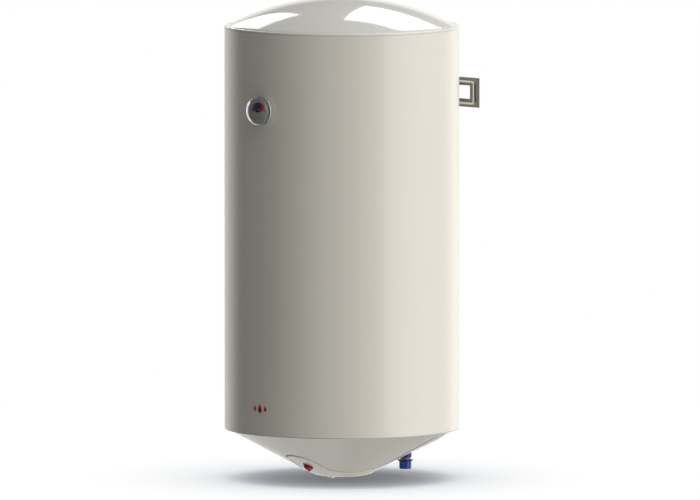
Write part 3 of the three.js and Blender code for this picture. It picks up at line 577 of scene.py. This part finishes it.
# The bracket plate's zinc, with a painted highlight along its rib's crest.
CREST_HIGHLIGHT_ZINC = crest_highlight_zinc("crest_highlight_zinc", *DARK_ZINC, (0.88, 0.86, 0.77), 5.2, 7.4)
PIPE_STEEL = drawn_metal("pipe_steel", (0.5, 0.47, 0.4), 0.38)
COPPER = drawn_metal("copper", (0.72, 0.32, 0.18), 0.32)
MAGNESIUM = drawn_metal("magnesium", (0.62, 0.63, 0.64), 0.5)
ENAMEL = enamelled_steel()
FOAM = foam()
RUBBER = rubber()
SILVER = bezel_silver()
LENS = clear_lens()
SCALE_PRINT = scale_print()
WIRE_BROWN = moulded("wire_brown", (0.12, 0.05, 0.02), 0.45)
WIRE_BLUE = moulded("wire_blue", (0.02, 0.12, 0.4), 0.45)
WIRE_GREEN = moulded("wire_green", (0.12, 0.35, 0.05), 0.45)


# ---- Jacket ----


def arc_normals(piece, radius, axis_y):
    """Gives the faces of a cylinder's wall the cylinder's own normals, so that cuts in it don't show."""
    facing = 0.99
    tolerance = 0.2 * MM
    mesh = piece.data
    normals = np.array([n.vector for n in mesh.corner_normals])
    for polygon in mesh.polygons:
        out = Vector((polygon.center.x, polygon.center.y - axis_y, 0)).normalized()
        if polygon.normal @ out < facing:
            continue
        for corner in polygon.loop_indices:
            co = mesh.vertices[mesh.loops[corner].vertex_index].co
            away = Vector((co.x, co.y - axis_y, 0))
            if abs(away.length - radius) < tolerance:
                normals[corner] = away.normalized()
    mesh.normals_split_custom_set([tuple(n) for n in normals])


def jacket():
    profile = rectangle(BODY_R - SHEET, BODY_R, BOTTOM, TOP, 0.9, 0.9)
    wall = make_piece("jacket_sheet", *lathe(profile, 288), HEATER, PAINT,
                      slot="jacket_paint", replaces=["outer_shell"])
    near, far = 195, 245  # the cutters' reach, on both sides of the sheet
    dial_hole = moved(lathe(rectangle(0, 23, near, far), 64), UPRIGHT)
    saddle_hole = prism(rectangle(-45, 45, 180, 240), -24, 24)
    peg_hole = moved(lathe(rectangle(0, 5.5, -far, -near), 32), UPRIGHT)
    cut_with(wall, [
        (dial_hole, HEATER @ Matrix.Translation((DIAL_X, 0, DIAL_Z))),
        (saddle_hole, HEATER),
        (peg_hole, HEATER @ Matrix.Translation((0, 0, SPACER_Z))),
    ])
    arc_normals(wall, BODY_R * MM, AXIS_Y * MM)

    # The sheet's folded lock seam runs down the back, beside the bracket.
    seam_half = 5.5
    seam_end = 1.5
    seam = rectangle(BODY_R - 0.4, BODY_R + 0.7, -seam_half, seam_half, 0.6, 0.6)
    strip = prism(seam, BOTTOM + seam_end, TOP - seam_end)
    place = HEATER @ Matrix.Rotation(math.radians(60), 4, "Z")
    make_piece("jacket_seam", *strip, place, PAINT, slot="jacket_paint")


# ---- Lid ----


def dome_z(r):
    return cap_high - DOME_R + np.sqrt(DOME_R**2 - np.asarray(r, float) ** 2)


def lid():
    groove_r = BODY_R - BEAD_W
    dome_edge = groove_r - 2
    inner_r = SPIGOT_R - CAP_WALL
    outside = [(r, float(dome_z(r))) for r in np.linspace(dome_edge, 0, 60)]
    inside = [(r, float(dome_z(r)) - CAP_WALL) for r in np.linspace(0, dome_edge - 2, 20)]
    edge = rounded([
        inside[-1],
        (dome_edge + 1, TOP - 0.5),
        (inner_r, TOP - 0.5),
        (inner_r, TOP - SPIGOT),
        (SPIGOT_R, TOP - SPIGOT, 0.8),
        (SPIGOT_R, TOP + GAP),
        (BODY_R, TOP + GAP, 0.4),
        (BODY_R, TOP + BEAD_H, 2.2),
        (groove_r + 2.6, TOP + BEAD_H, 1.8),
        (groove_r + 0.6, TOP + 2.6, 1.2),
        outside[0],
    ], closed=False)
    profile = inside[:-1] + edge + outside[1:]
    make_piece("lid_dome", *lathe(profile, 288), HEATER, LID, slot="cap_plastic",
               replaces=["top_cap"], sharp=50)


# ---- Bottom cap and its service cover ----


def bezier(start, control, end, steps):
    t = np.linspace(0, 1, steps, endpoint=False)[:, None]
    return np.array(start) * (1 - t) ** 2 + np.array(control) * 2 * t * (1 - t) + np.array(end) * t**2


def straight(start, end, steps=12):
    t = np.linspace(0, 1, steps, endpoint=False)[:, None]
    return np.array(start) * (1 - t) + np.array(end) * t


def cover_outline(count=420):
    """The service cover in plan: a tongue to the front, two wings behind, evenly spaced points."""
    tongue_r = 32
    rear_y = 98
    angles = np.linspace(-math.pi / 2, 0, 24, endpoint=False)
    half = np.vstack([
        np.column_stack([tongue_r * np.cos(angles), -105.5 + tongue_r * np.sin(angles)]),
        straight((tongue_r, -105.5), (tongue_r, -87)),
        bezier((tongue_r, -87), (tongue_r, -80), (37, -74), 8),
        straight((37, -74), (88, 9)),
        bezier((88, 9), (98, 26), (116, 31), 14),
        straight((116, 31), (186, 57.5)),
        bezier((186, 57.5), (201, 63), (197, 72), 10),
        straight((197, 72), (192, 85), 6),
        bezier((192, 85), (186, rear_y), (166, rear_y), 12),
        straight((166, rear_y), (0, rear_y)),
        [(0, rear_y)],
    ])
    outline = np.vstack([half, (half[1:-1] * (-1, 1))[::-1]])
    outline = np.vstack([outline, outline[:1]])
    run = np.concatenate([[0], np.cumsum(np.linalg.norm(np.diff(outline, axis=0), axis=1))])
    even = np.linspace(0, run[-1], count, endpoint=False)
    points = np.column_stack([np.interp(even, run, outline[:, k]) for k in (0, 1)])
    for _ in range(3):  # takes the kinks off where two stretches meet
        points = (np.roll(points, 1, 0) + 2 * points + np.roll(points, -1, 0)) / 4
    return points


def grown(outline, distance):
    """A closed outline moved out along its normals."""
    along = np.roll(outline, -1, 0) - np.roll(outline, 1, 0)
    along /= np.linalg.norm(along, axis=1)[:, None]
    return outline + distance * np.column_stack([along[:, 1], -along[:, 0]])


def on_surface(points, depth=0.0):
    """Plan points put on the cone, at a depth above its outer surface."""
    z = cone_z(np.hypot(points[:, 0], points[:, 1])) + depth
    return [tuple(p) for p in np.column_stack([points, z])]


def edge_roll(outline, grow, way, proud=0.0):
    """Rings that roll from the outer surface over an edge of the groove and down its wall."""
    rings = []
    for angle in np.linspace(0, math.pi / 2, 5):
        across = grow + way * EDGE_R * (math.sin(angle) - 1)
        rings.append(on_surface(grown(outline, across), EDGE_R * (1 - math.cos(angle)) - proud))
    return rings


def service_cover(outline):
    """A shell of one skin outside and one inside, in rings that grow from its centre to its edge."""
    wall = 2.27
    middle_share = 0.84  # within it the rings grow from the centre, beyond it they run to the rim's foot
    foot = grown(outline, -EDGE_R - COVER_RIM_WIDTH)
    middle = COVER_CENTRE + middle_share * (outline - COVER_CENTRE)
    outer = [on_surface(COVER_CENTRE + s * (middle - COVER_CENTRE)) for s in np.linspace(0, 1, 60)[1:]]
    outer += [on_surface(middle + s * (foot - middle)) for s in np.linspace(0, 1, 14)[1:]]
    for s in np.linspace(0, 1, 8)[1:-1]:
        rise = COVER_RIM * (0.5 - 0.5 * math.cos(math.pi * s))
        outer.append(on_surface(grown(outline, -EDGE_R - COVER_RIM_WIDTH * (1 - s)), -rise))
    inner_shares = np.linspace(1, 0, 16)[1:-1]
    inner = [on_surface(COVER_CENTRE + s * (outline - COVER_CENTRE), wall) for s in inner_shares]
    centre = COVER_CENTRE[None, :]
    rings = [on_surface(centre), *outer, *edge_roll(outline, 0, 1, COVER_RIM),
             on_surface(outline, wall), *inner, on_surface(centre, wall)]
    make_piece("service_cover_shell", *loft(rings), HEATER, COVER, slot="cover_plastic",
               replaces=["service_cover"])


def groove_shade_strip(outline):
    """A near-black rubber strip behind the groove: painted shade, so that the groove shows dark."""
    lap = 1.5
    strip = rectangle(-lap, COVER_GROOVE + lap, 1.2, 2.2)
    rings = [on_surface(grown(outline, grow), depth) for grow, depth in strip]
    make_piece("groove_shade_strip", *loft(rings[::-1], closed=True), HEATER, RUBBER, slot="rubber")


def bottom_cap(outline):
    """The cone round the cover, with a ledge behind the groove and a spigot inside the jacket."""
    wall = 2.84
    ledge = 2.6
    ledge_wall = 2
    ledge_reach = 6
    shoulder_r = BODY_R - 6
    inner_r = SPIGOT_R - CAP_WALL
    edge = grown(outline, COVER_GROOVE)
    away = edge - COVER_CENTRE
    away /= np.linalg.norm(away, axis=1)[:, None]

    def meets(radius):
        """Where the rays from the cover's centre through its edge meet a circle round the axis."""
        along = away @ COVER_CENTRE
        reach = -along + np.sqrt(along**2 - COVER_CENTRE @ COVER_CENTRE + radius**2)
        return COVER_CENTRE + away * reach[:, None]

    def at_rim(radius, z):
        rim = meets(shoulder_r) * (radius / shoulder_r)
        return [(x, y, z) for x, y in rim]

    start = grown(outline, COVER_GROOVE + EDGE_R)
    shoulder = meets(shoulder_r)
    outer = [on_surface(start + s * (shoulder - start)) for s in np.linspace(0, 1, 48)[1:]]
    brim = rounded([
        (shoulder_r, float(cone_z(shoulder_r))),
        (BODY_R - 4.4, BOTTOM - 1.2, 1.5),
        (BODY_R - 0.2, BOTTOM - 1.2, 0.8),
        (BODY_R - 0.2, BOTTOM - GAP),
        (SPIGOT_R, BOTTOM - GAP),
        (SPIGOT_R, BOTTOM + SPIGOT, 0.8),
        (inner_r, BOTTOM + SPIGOT),
    ], closed=False)[1:]
    inside = meets(inner_r)
    back = [on_surface(inside + s * (edge - inside), wall) for s in np.linspace(0, 1, 12)[:-1]]
    rings = [
        *edge_roll(outline, COVER_GROOVE, -1)[::-1],
        *outer,
        *[at_rim(r, z) for r, z in brim],
        *back,
        on_surface(grown(outline, 5), wall),
        on_surface(grown(outline, 4), ledge + ledge_wall),
        on_surface(grown(outline, -ledge_reach), ledge + ledge_wall),
        on_surface(grown(outline, -ledge_reach), ledge),
        on_surface(grown(outline, COVER_GROOVE), ledge),
    ]
    make_piece("bottom_cap_shell", *loft(rings, closed=True), HEATER, CONE, slot="cap_plastic",
               replaces=["bottom_cap"])


def cover_fittings():
    for name in ("cover_screw_left", "cover_screw_right", "cover_screw_rear"):
        screw = refined(name, ZINC, 0.15, slot="zinc")
        screw.location.z += SCREW_RECESS * MM
    flat_z = float(cone_z(0))
    gland = rounded([
        (3.2, flat_z - 3.4, 0.4),
        (4.6, flat_z - 4, 0.8),
        (6.3, flat_z - 3.4, 1.2),
        (7, flat_z - 1.6, 0.8),
        (7, flat_z - 0.3, 0.3),
        (6, flat_z - 0.3),
        (6, flat_z + 14, 1),
        (4, flat_z + 18, 0.6),
        (3.2, flat_z + 18),
    ])
    place = HEATER @ Matrix.Translation((0, GLAND_Y, 0))
    make_piece("gland_bush", *lathe(gland, 64), place, NYLON, slot="white_nylon", replaces=["cable_gland"])


# ---- Knob ----


def teardrop(radius, tip, tangent_degrees=38, steps=40):
    """A circle drawn out to a point along +Y."""
    tangent = math.radians(tangent_degrees)
    angles = np.linspace(math.pi - tangent, 2 * math.pi + tangent, steps)
    return [(radius * math.cos(a), radius * math.sin(a)) for a in angles] + [(0, tip)]


def knob():
    place = on_cone(0, KNOB_Y)
    # Painted shade: the black surround, drawn out to a dark tip up the slope, and the black sleeve inside it
    # stand in for the shadow round the knob.
    outline = teardrop(9.6, 16.6)
    hole_r = 8.8
    hole = [(x, y) for x, y, _ in circle(hole_r, 0)]
    bezel = make_piece("knob_shade_surround", *prism(outline, GAP, 1.5), place, BLACK,
                       slot="black_plastic", replaces=["knob_bezel"])
    cut_with(bezel, [(prism(hole, -2, 4), place)])
    soften(bezel, 0.35, 3)
    sleeve = lathe(rectangle(hole_r, 9.3, -4, 0.9), 64)
    make_piece("knob_sleeve", *sleeve, place, BLACK, slot="black_plastic")

    # The knob's rim carries shallow grip flutes, and a bar across its face points up the slope.
    flutes = 30
    flute_depth = 0.28
    underside = -2.5
    profile = rounded([
        (7.8, underside),
        (8.3, -1.8),
        (8.3, 3.6, 1.2),
        (7.2, 4.9, 0.6),
        (4, 5.1),
        (0, 5.15),
    ], closed=False)
    angles = full_turn(8 * flutes)
    rings = []
    for r, z in [(0, underside), *profile]:
        if r == 0:
            rings.append([(0, 0, z)])
            continue
        on_rim = r > 7.9 and z > -1
        depth = flute_depth if on_rim else 0
        reach = [r - depth * (0.5 - 0.5 * math.cos(flutes * a)) ** 2 for a in angles]
        rings.append([(q * math.cos(a), q * math.sin(a), z) for q, a in zip(reach, angles)])
    make_piece("knob_dial", *loft(rings), place, KNOB_RED, "knob", "knob_red", ["control_knob"], sharp=50)
    grip = [(-2, -7.6), (2, -7.6), (2, 5.8), (0, 8.1), (-2, 5.8)]
    bar = make_piece("knob_grip", *prism(grip, 3.6, 7.5), place, KNOB_RED, "knob", "knob_red", sharp=25)
    soften(bar, 0.9, 4, 20)
    mark = [(-0.4, 1), (0.4, 1), (0.4, 5), (0, 5.8), (-0.4, 5)]
    make_piece("knob_mark", *prism(mark, 7.4, 7.49), place, NYLON, "knob", "white_nylon")


# ---- Water connections ----


def thread(start, end, segments=48):
    """A half inch parallel thread between two heights, its crests and roots rounded, on a bored tube."""
    per_turn = 10
    runout = 1.2
    rings = [circle(PIPE_BORE_R, start, segments)]
    for z in np.linspace(start, end, int((end - start) / THREAD_PITCH * per_turn)):
        ring = []
        fade = max(min(1, (z - start) / runout, (end - z) / runout), 0)
        for a in full_turn(segments):
            phase = (z / THREAD_PITCH - a / (2 * math.pi)) % 1
            root = 0.5 - 0.5 * math.cos(2 * math.pi * phase)
            r = THREAD_R - THREAD_DEPTH * (root * fade + (1 - fade))
            ring.append((r * math.cos(a), r * math.sin(a), z))
        rings.append(ring)
    rings.append(circle(PIPE_BORE_R, end, segments))
    return loft(rings, closed=True)


def water_connection(water, pipe, x, collar_finish, cap_finish, slot):
    """A threaded pipe end with its collar, its washer and the push-on cap that covers it in transit."""
    place = HEATER @ Matrix.Translation((x, PIPE_Y, 0))
    thread_end = BOTTOM - 82.8
    thread_top = BOTTOM - 40
    pipe_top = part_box(pipe)[1].z / MM
    tube = lathe(rectangle(PIPE_BORE_R, 9.9, thread_top, pipe_top), 48)
    make_piece(f"{water}_pipe_tube", *merged(thread(thread_end, thread_top), tube), place, PIPE_STEEL,
               slot="pipe_steel", replaces=[pipe])
    collar = rectangle(10.8, 12.2, BOTTOM - 63, thread_top, 0.7)
    make_piece(f"{water}_sleeve", *lathe(collar, 64), place, collar_finish, slot=slot,
               replaces=[f"{water}_collar"])
    disc = rectangle(10.7, 14.6, BOTTOM - 70, BOTTOM - 68, 0.6, 0.6)
    make_piece(f"{water}_seal", *lathe(disc, 64), place, RUBBER, slot="rubber",
               replaces=[f"{water}_washer"])

    cap_face = BOTTOM - 85.5
    cap_dish = BOTTOM - 85.2
    cap_mouth = BOTTOM - 70.3
    cap_floor = BOTTOM - 83.2
    cap = rounded([
        (0, cap_dish),
        (6, cap_dish, 0.5),
        (6.6, cap_face, 0.5),
        (11.6, cap_face, 1.1),
        (11.8, BOTTOM - 72.2, 0.3),
        (11.8, cap_mouth, 0.5),
        (10.8, cap_mouth),
        (10.8, cap_floor),
        (0, cap_floor),
    ], closed=False)
    make_piece(f"{water}_cap", *lathe(cap, 64), place, cap_finish, slot=slot,
               replaces=[f"{water}_pipe_cap"])


def water_connections():
    water_connection("hot", "hot_outlet_pipe", -PIPE_X, HOT_RED, HOT_RED, "hot_red")
    water_connection("cold", "cold_inlet_pipe", PIPE_X, COLLAR_BLUE, COLD_BLUE, "cold_blue")


# ---- Thermometer ----


def bezel_ring():
    """The ring on the jacket. Its back follows the jacket's curve."""
    hole_r = 22.6
    back = -4
    proud = 7
    profile = rounded([
        (hole_r, back),
        (BEZEL_R, back),
        (BEZEL_R, proud, 1.8),
        (hole_r, proud, 0.4),
    ], 8)
    vertices, faces = lathe(profile, 160)
    reach = BODY_R + 0.2
    seated = []
    for x, y, z in vertices:
        jacket_z = math.sqrt(reach**2 - (x + DIAL_X) ** 2) - BODY_R
        seated.append((x, y, jacket_z if z < back + 1 else z))
    make_piece("bezel_ring", seated, faces, DIAL, SILVER, slot="bezel_silver",
               replaces=["thermometer_bezel"])


def dial_face():
    """The card, with a half circle of colour and thirteen ticks printed on it."""
    back, front = 9, 9.8
    card = lathe(rectangle(1.4, 25.8, back, front), 96)
    make_piece("dial_card", *card, DIAL, DIAL_CARD, slot="dial_face", replaces=["thermometer_dial"])
    sector = [(-r * math.cos(a), r * math.sin(a)) for r, way in ((16.5, 1), (4.5, -1))
              for a in np.linspace(0, math.pi, 48)[::way]]
    make_piece("dial_scale", *prism(sector, front, front + 0.06), DIAL, SCALE_PRINT, slot="dial_face")
    ticks = []
    for i, angle in enumerate(np.linspace(0, math.pi, 13)):
        half, inner = (0.35, 17.2) if i % 3 == 0 else (0.2, 18.2)
        bar = prism(rectangle(inner, 20.2, -half, half), front, front + 0.07)
        ticks.append(moved(bar, Matrix.Rotation(angle, 4, "Z")))
    make_piece("dial_ticks", *merged(*ticks), DIAL, TICK_INK, slot="dial_face")


def dial_lens():
    """A deep clear cap of even wall over the dial."""
    outer_r = BEZEL_R - 0.5
    inner_r = outer_r - 1.7
    seat = 7.3
    profile = rounded([
        (0, 19.3),
        (20, 18.4, 8),
        (inner_r, 15, 7),
        (inner_r, seat),
        (outer_r, seat),
        (outer_r, 16.5, 8),
        (21, 20.3, 8),
        (0, 21),
    ], 10, closed=False)
    make_piece("dial_lens", *lathe(profile, 128), DIAL, LENS,
               slot="clear_lens", replaces=["thermometer_glass"], sharp=50)


def needle():
    """The needle, at rest at nine o'clock, and its hub with a short tail."""
    back, front = 12, 12.6
    blade = [(-17.5, -0.12), (-17.5, 0.12), (-2.4, 1.3), (7, 0.9), (7, -0.9), (-2.4, -1.3)]
    eye = lathe(rectangle(0, 2.6, back, front), 40)
    make_piece("needle_blade", *merged(prism(blade, back, front), eye), DIAL, NEEDLE_RED,
               "needle", "needle_red", ["thermometer_needle"])
    tail = [(2.5, -0.8), (7.6, -0.55), (7.6, 0.55), (2.5, 0.8)]
    hub = rounded([(0, -6), (1, -6), (1, 12.9), (3, 12.9, 0.3), (2.7, 14.2, 0.5), (0, 14.4)], closed=False)
    make_piece("needle_cap", *merged(lathe(hub, 40), prism(tail, front, 13)), DIAL, BLACK,
               "needle", "black_plastic", ["needle_hub"])


def thermometer():
    bezel_ring()
    dial_face()
    dial_lens()
    needle()


# ---- Emblem: three plain water drops ----


def emblem():
    """Three raised drops, the middle one larger, wrapped on the jacket."""
    spacing = 13.5
    small = 0.62
    low, high = (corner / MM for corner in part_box("emblem_drop"))
    middle_z = (low.z + high.z) / 2
    back, front = 0.2, 1.22  # from the jacket's surface
    solids = []
    for offset, size in ((-spacing, small), (0, 1.0), (spacing, small)):
        radius = 6.2 * size
        outline = []
        for t in full_turn(72):
            pinch = math.sin(t / 2) ** 1.6
            outline.append((radius * math.sin(t) * pinch, 1.45 * radius * math.cos(t)))
        rings = [[(offset, 0, back)]]
        for share, rise in ((1, back), (1, 0.7), (0.94, 0.95), (0.8, 1.1), (0.5, 1.2), (0.2, front)):
            rings.append([(offset + x * share, y * share, rise) for x, y in outline])
        rings.append([(offset, 0, front)])
        solids.append(loft(rings))
    vertices, faces = merged(*solids)
    wrapped = []
    for x, y, rise in vertices:
        angle = x / BODY_R
        r = BODY_R + rise
        wrapped.append((r * math.sin(angle), -r * math.cos(angle), middle_z + y))
    make_piece("emblem_drops", wrapped, faces, HEATER, EMBLEM_RED, slot="emblem_red",
               replaces=["emblem_drop"], sharp=60)


# ---- Wall bracket ----


def wall_bracket():
    """A pressed plate: a rounded rib runs round each window, hollow behind."""
    half_w, half_h = 131, 28.5
    window_far = half_w - 23
    window_near = window_far - 45
    window_top = half_h - 15.6
    sheet = 3
    rib = BRACKET_DEPTH - sheet
    rib_half = 4.6
    corner = 4  # the ribs' bend at a window's corners
    grid = 1.1
    line_far = half_w - 10.6
    line_near = window_near - 11
    line_top = (half_h + window_top) / 2

    def spaced(edges):
        stops = [edges[0]]
        for a, b in zip(edges, edges[1:]):
            stops.extend(np.linspace(a, b, max(2, round((b - a) / grid) + 1))[1:])
        return np.array(stops)

    xs = spaced([-half_w, -window_far, -window_near, window_near, window_far, half_w])
    ys = spaced([-half_h, -window_top, window_top, half_h])

    def height(x, y):
        """How far the rib lifts the sheet: a rounded ridge along a rectangle round each window."""
        middle = (line_far + line_near) / 2
        dx = abs(abs(x) - middle) - (line_far - line_near) / 2 + corner
        dy = abs(y) - line_top + corner
        outside = math.hypot(max(dx, 0), max(dy, 0)) + min(max(dx, dy), 0) - corner
        share = min(abs(outside) / rib_half, 1)
        return rib * (math.cos(math.pi / 2 * share) ** 1.15 if share < 1 else 0)

    def inside_window(x, y):
        return window_near < abs(x) < window_far and abs(y) < window_top

    index = {}
    vertices = []
    for side, base in (("front", sheet), ("back", 0)):
        for i, x in enumerate(xs):
            for j, y in enumerate(ys):
                index[side, i, j] = len(vertices)
                vertices.append((x, y, base + height(x, y)))
    cells = set()
    for i in range(len(xs) - 1):
        for j in range(len(ys) - 1):
            if not inside_window((xs[i] + xs[i + 1]) / 2, (ys[j] + ys[j + 1]) / 2):
                cells.add((i, j))
    corners = ((0, 0), (1, 0), (1, 1), (0, 1))
    sides = {  # the neighbour across each side of a cell, and that side's two corners
        (-1, 0): ((0, 0), (0, 1)),
        (1, 0): ((1, 0), (1, 1)),
        (0, -1): ((0, 0), (1, 0)),
        (0, 1): ((0, 1), (1, 1)),
    }
    faces = []
    for i, j in cells:
        for side in ("front", "back"):
            faces.append([index[side, i + a, j + b] for a, b in corners])
        for (di, dj), ((a, b), (c, d)) in sides.items():
            if (i + di, j + dj) not in cells:
                faces.append([index["front", i + a, j + b], index["front", i + c, j + d],
                              index["back", i + c, j + d], index["back", i + a, j + b]])
    # The plate's rib carries a painted highlight along its crest.
    plate = make_piece("bracket_plate", vertices, faces, BRACKET, CREST_HIGHLIGHT_ZINC, slot="bracket_zinc",
                       replaces=["wall_bracket"], sharp=50)
    add_bevel(plate, 0.35, 2, 60)
    for name in ("bracket_screw_left", "bracket_screw_right"):
        refined(name, ZINC, 0.2, slot="zinc")
    refined("hanger_saddle", BRACKET_ZINC, 0.6, slot="bracket_zinc")
    refined("saddle_seal", RUBBER, 0.5, slot="rubber")
    refined("lower_spacer", BLACK, 0.8, 3, slot="black_plastic")
    refined("spacer_pad", RUBBER, 0.5, slot="rubber")


# ---- CAD nodes that keep their shape ----


def keep_nodes():
    """Gives the pieces inside the jacket their own materials."""
    finishes = {
        ENAMEL: ["tank_shell", "tank_top_end", "tank_bottom_end", "flange_neck"],
        FOAM: ["insulation_side", "insulation_top", "insulation_bottom"],
        ZINC: ["flange_plate", "thermostat_spindle", *[f"flange_bolt_{i}" for i in range(1, 6)]],
        RUBBER: ["flange_gasket"],
        COPPER: ["heating_element", "sensor_pocket", "thermostat_sensor", "thermometer_sensor"],
        MAGNESIUM: ["anode_rod"],
        NYLON: ["terminal_block", "inlet_diffuser"],
        BLACK: ["thermostat_body", "safety_cutout", "thermometer_housing"],
        KNOB_RED: ["reset_button"],
        WIRE_BROWN: ["live_wire"],
        WIRE_BLUE: ["neutral_wire"],
        WIRE_GREEN: ["earth_wire"],
    }
    for material, names in finishes.items():
        for name in names:
            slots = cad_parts[name].data.materials
            slots.clear()
            slots.append(material)


# ---- Studio ----


def aim(thing, place, target):
    """Puts a lamp or camera at a point, facing another."""
    thing.location = place
    thing.rotation_mode = "QUATERNION"
    thing.rotation_quaternion = (Vector(target) - Vector(place)).to_track_quat("-Z", "Y")


VIEW_AZIMUTH = 44.0
VIEW_ELEVATION = 5.2
CAMERA_TARGET = HEATER @ Vector((0, 0, -295))
LAMP_TARGET = HEATER @ Vector((0, 0, 30))  # inside the jacket, below the lid
LAMP_DISTANCE = 8
FRAME_WIDTH = 1.342  # in metres, across the picture at the heater
FRAME_OFFSET = 0.0156  # puts the heater a little left of the picture's middle


def direction(from_camera, elevation):
    """A unit vector, its azimuth in degrees to the right of the camera's side of the heater."""
    a, e = math.radians(VIEW_AZIMUTH + from_camera), math.radians(elevation)
    return Vector((math.sin(a) * math.cos(e), -math.cos(a) * math.cos(e), math.sin(e)))


def softbox(name, from_camera, elevation, width, height, radiance):
    """A soft rectangular lamp, unseen by the camera, given by the brightness of its own face."""
    data = bpy.data.lights.new(name, "AREA")
    data.shape = "RECTANGLE"
    data.size, data.size_y = width, height
    data.energy = radiance * math.pi * width * height
    lamp = new_object(name, data)
    lamp.visible_camera = False
    aim(lamp, LAMP_TARGET + direction(from_camera, elevation) * LAMP_DISTANCE, LAMP_TARGET)


def camera():
    """A very long lens, for a picture with almost no perspective."""
    data = bpy.data.cameras.new("camera")
    data.lens = 1150
    data.sensor_width = 36
    data.clip_start, data.clip_end = 1, 90
    thing = new_object("camera", data)
    bpy.context.scene.camera = thing
    distance = FRAME_WIDTH * data.lens / data.sensor_width
    target = CAMERA_TARGET + direction(90, 0) * FRAME_OFFSET
    aim(thing, target + direction(0, VIEW_ELEVATION) * distance, target)


# Brightness round the room at three levels, as (degrees to the right of the camera, brightness).
WALLS = (
    (-178, 1.0), (-146, 1.4), (-132, 1.0), (-122, 0), (-64, 0), (-52, 0.32), (-12, 0.56), (-2, 0.1),
    (40, 0), (44, 1.7), (58, 2.1), (72, 1.5), (92, 0.9), (106, 0.3), (122, 0.4), (143, 1.5), (160, 1.0),
)
CEILING = ((-150, 0.3), (-80, 0.1), (-15, 0.1), (15, 0.9), (45, 1.8), (100, 1.9), (130, 0.7), (170, 0.3))
GROUND = ((-150, 0.85), (-90, 0.15), (-30, 0.08), (0, 0.45), (30, 0.85), (90, 0.85), (130, 0.4), (165, 0.45))
OVERHEAD = 0.5

# The floor's glow, from hidden to open: a painted shadow.
FLOOR_R = 1.6
FLOOR_SHADE = (
    (0.12, (0.18, 0.185, 0.20)),
    (0.4, (0.40, 0.41, 0.44)),
    (0.64, (0.76, 0.78, 0.81)),
    (0.85, (1, 1, 1)),
)


def room():
    """The room that the heater reflects. The camera itself sees plain white."""
    world = bpy.data.worlds.new("room")
    bpy.context.scene.world = world
    world.use_nodes = True
    nodes, links = world.node_tree.nodes, world.node_tree.links
    nodes.clear()
    where = nodes.new("ShaderNodeTexCoord").outputs["Generated"]

    def node(kind, *inputs, **settings):
        made = nodes.new(kind)
        for name, value in settings.items():
            setattr(made, name, value)
        for socket, value in zip(made.inputs, inputs):
            if isinstance(value, bpy.types.NodeSocket):
                links.new(value, socket)
            elif value is not None:
                socket.default_value = value
        return made

    def along(vector):
        return node("ShaderNodeVectorMath", where, vector, operation="DOT_PRODUCT").outputs["Value"]

    rightward = along(direction(90, 0))
    nearward = along(direction(0, 0))
    turn = node("ShaderNodeMath", rightward, nearward, operation="ARCTAN2").outputs["Value"]
    share = node("ShaderNodeMapRange", turn, -math.pi, math.pi).outputs["Result"]
    height = along(Vector((0, 0, 1)))

    def level(stops):
        """A brightness for each direction round the room. The ramp holds half of it."""
        ramp = node("ShaderNodeValToRGB", share)
        elements = ramp.color_ramp.elements
        while len(elements) < len(stops):
            elements.new(0.5)
        for element, (degrees, brightness) in zip(elements, stops):
            element.position = 0.5 + degrees / 360
            element.color = (*[brightness / 2] * 3, 1)
        return node("ShaderNodeMath", ramp.outputs["Color"], 2.0, operation="MULTIPLY").outputs["Value"]

    def blend(first, second, low, high):
        """Goes smoothly from the first to the second between two heights of the view direction."""
        amount = node("ShaderNodeMapRange", height, low, high, interpolation_type="SMOOTHSTEP")
        return node("ShaderNodeMix", amount.outputs["Result"], None, first, second).outputs["Result"]

    strength = blend(level(GROUND), level(WALLS), -0.42, -0.24)
    strength = blend(strength, level(CEILING), 0.14, 0.32)
    strength = blend(strength, OVERHEAD, 0.85, 0.98)
    light = node("ShaderNodeBackground", (1, 0.99, 0.965, 1), strength)
    white = node("ShaderNodeBackground", (1, 1, 1, 1), 1.0)
    seen = node("ShaderNodeLightPath").outputs["Is Camera Ray"]
    mix = node("ShaderNodeMixShader", seen, light.outputs[0], white.outputs[0])
    node("ShaderNodeOutputWorld", mix.outputs[0])


def studio():
    camera()
    room()
    softbox("back_right_lamp", from_camera=166.5, elevation=37.5, width=2.5, height=3.0, radiance=5)
    softbox("back_left_lamp", from_camera=-163.5, elevation=24, width=1.8, height=3.3, radiance=3.6)
    view = bpy.context.scene.view_settings
    view.view_transform = "Standard"
    view.look = "None"


def floor():
    """A white floor that glows evenly, with a painted shadow: its glow darkens where the heater hides the
    room's right-hand side.
    """
    rings = [[(0, 0, 0)]]
    rings += [circle(r, 0) for r in np.linspace(0.1, FLOOR_R, 16)]
    mesh = new_mesh("floor", *loft(rings), Matrix.Identity(4))
    disc = new_object("floor", mesh)
    disc.location = (0, AXIS_Y * MM, cad_bounds[0].z - 0.002)
    disc.visible_diffuse = False
    disc.visible_glossy = False
    disc.visible_transmission = False
    disc.visible_shadow = False
    nodes = Nodes("floor", (0.02, 0.02, 0.02), 1.0)
    shaded_side = direction(88, 30)
    openness = nodes.add("ShaderNodeAmbientOcclusion")
    openness.samples = 16
    openness.inputs["Distance"].default_value = 2
    openness.inputs["Normal"].default_value = shaded_side
    glow = nodes.ramp(openness.outputs["AO"], FLOOR_SHADE)
    nodes.link(glow, nodes.shader.inputs["Emission Color"])
    nodes.shader.inputs["Emission Strength"].default_value = 1
    nodes.shader.inputs["Specular IOR Level"].default_value = 0
    nodes.material.cycles.emission_sampling = "NONE"
    mesh.materials.append(nodes.material)


studio()
floor()
jacket()
lid()
plan = cover_outline()
service_cover(plan)
groove_shade_strip(plan)
bottom_cap(plan)
cover_fittings()
knob()
water_connections()
thermometer()
emblem()
wall_bracket()
keep_nodes()
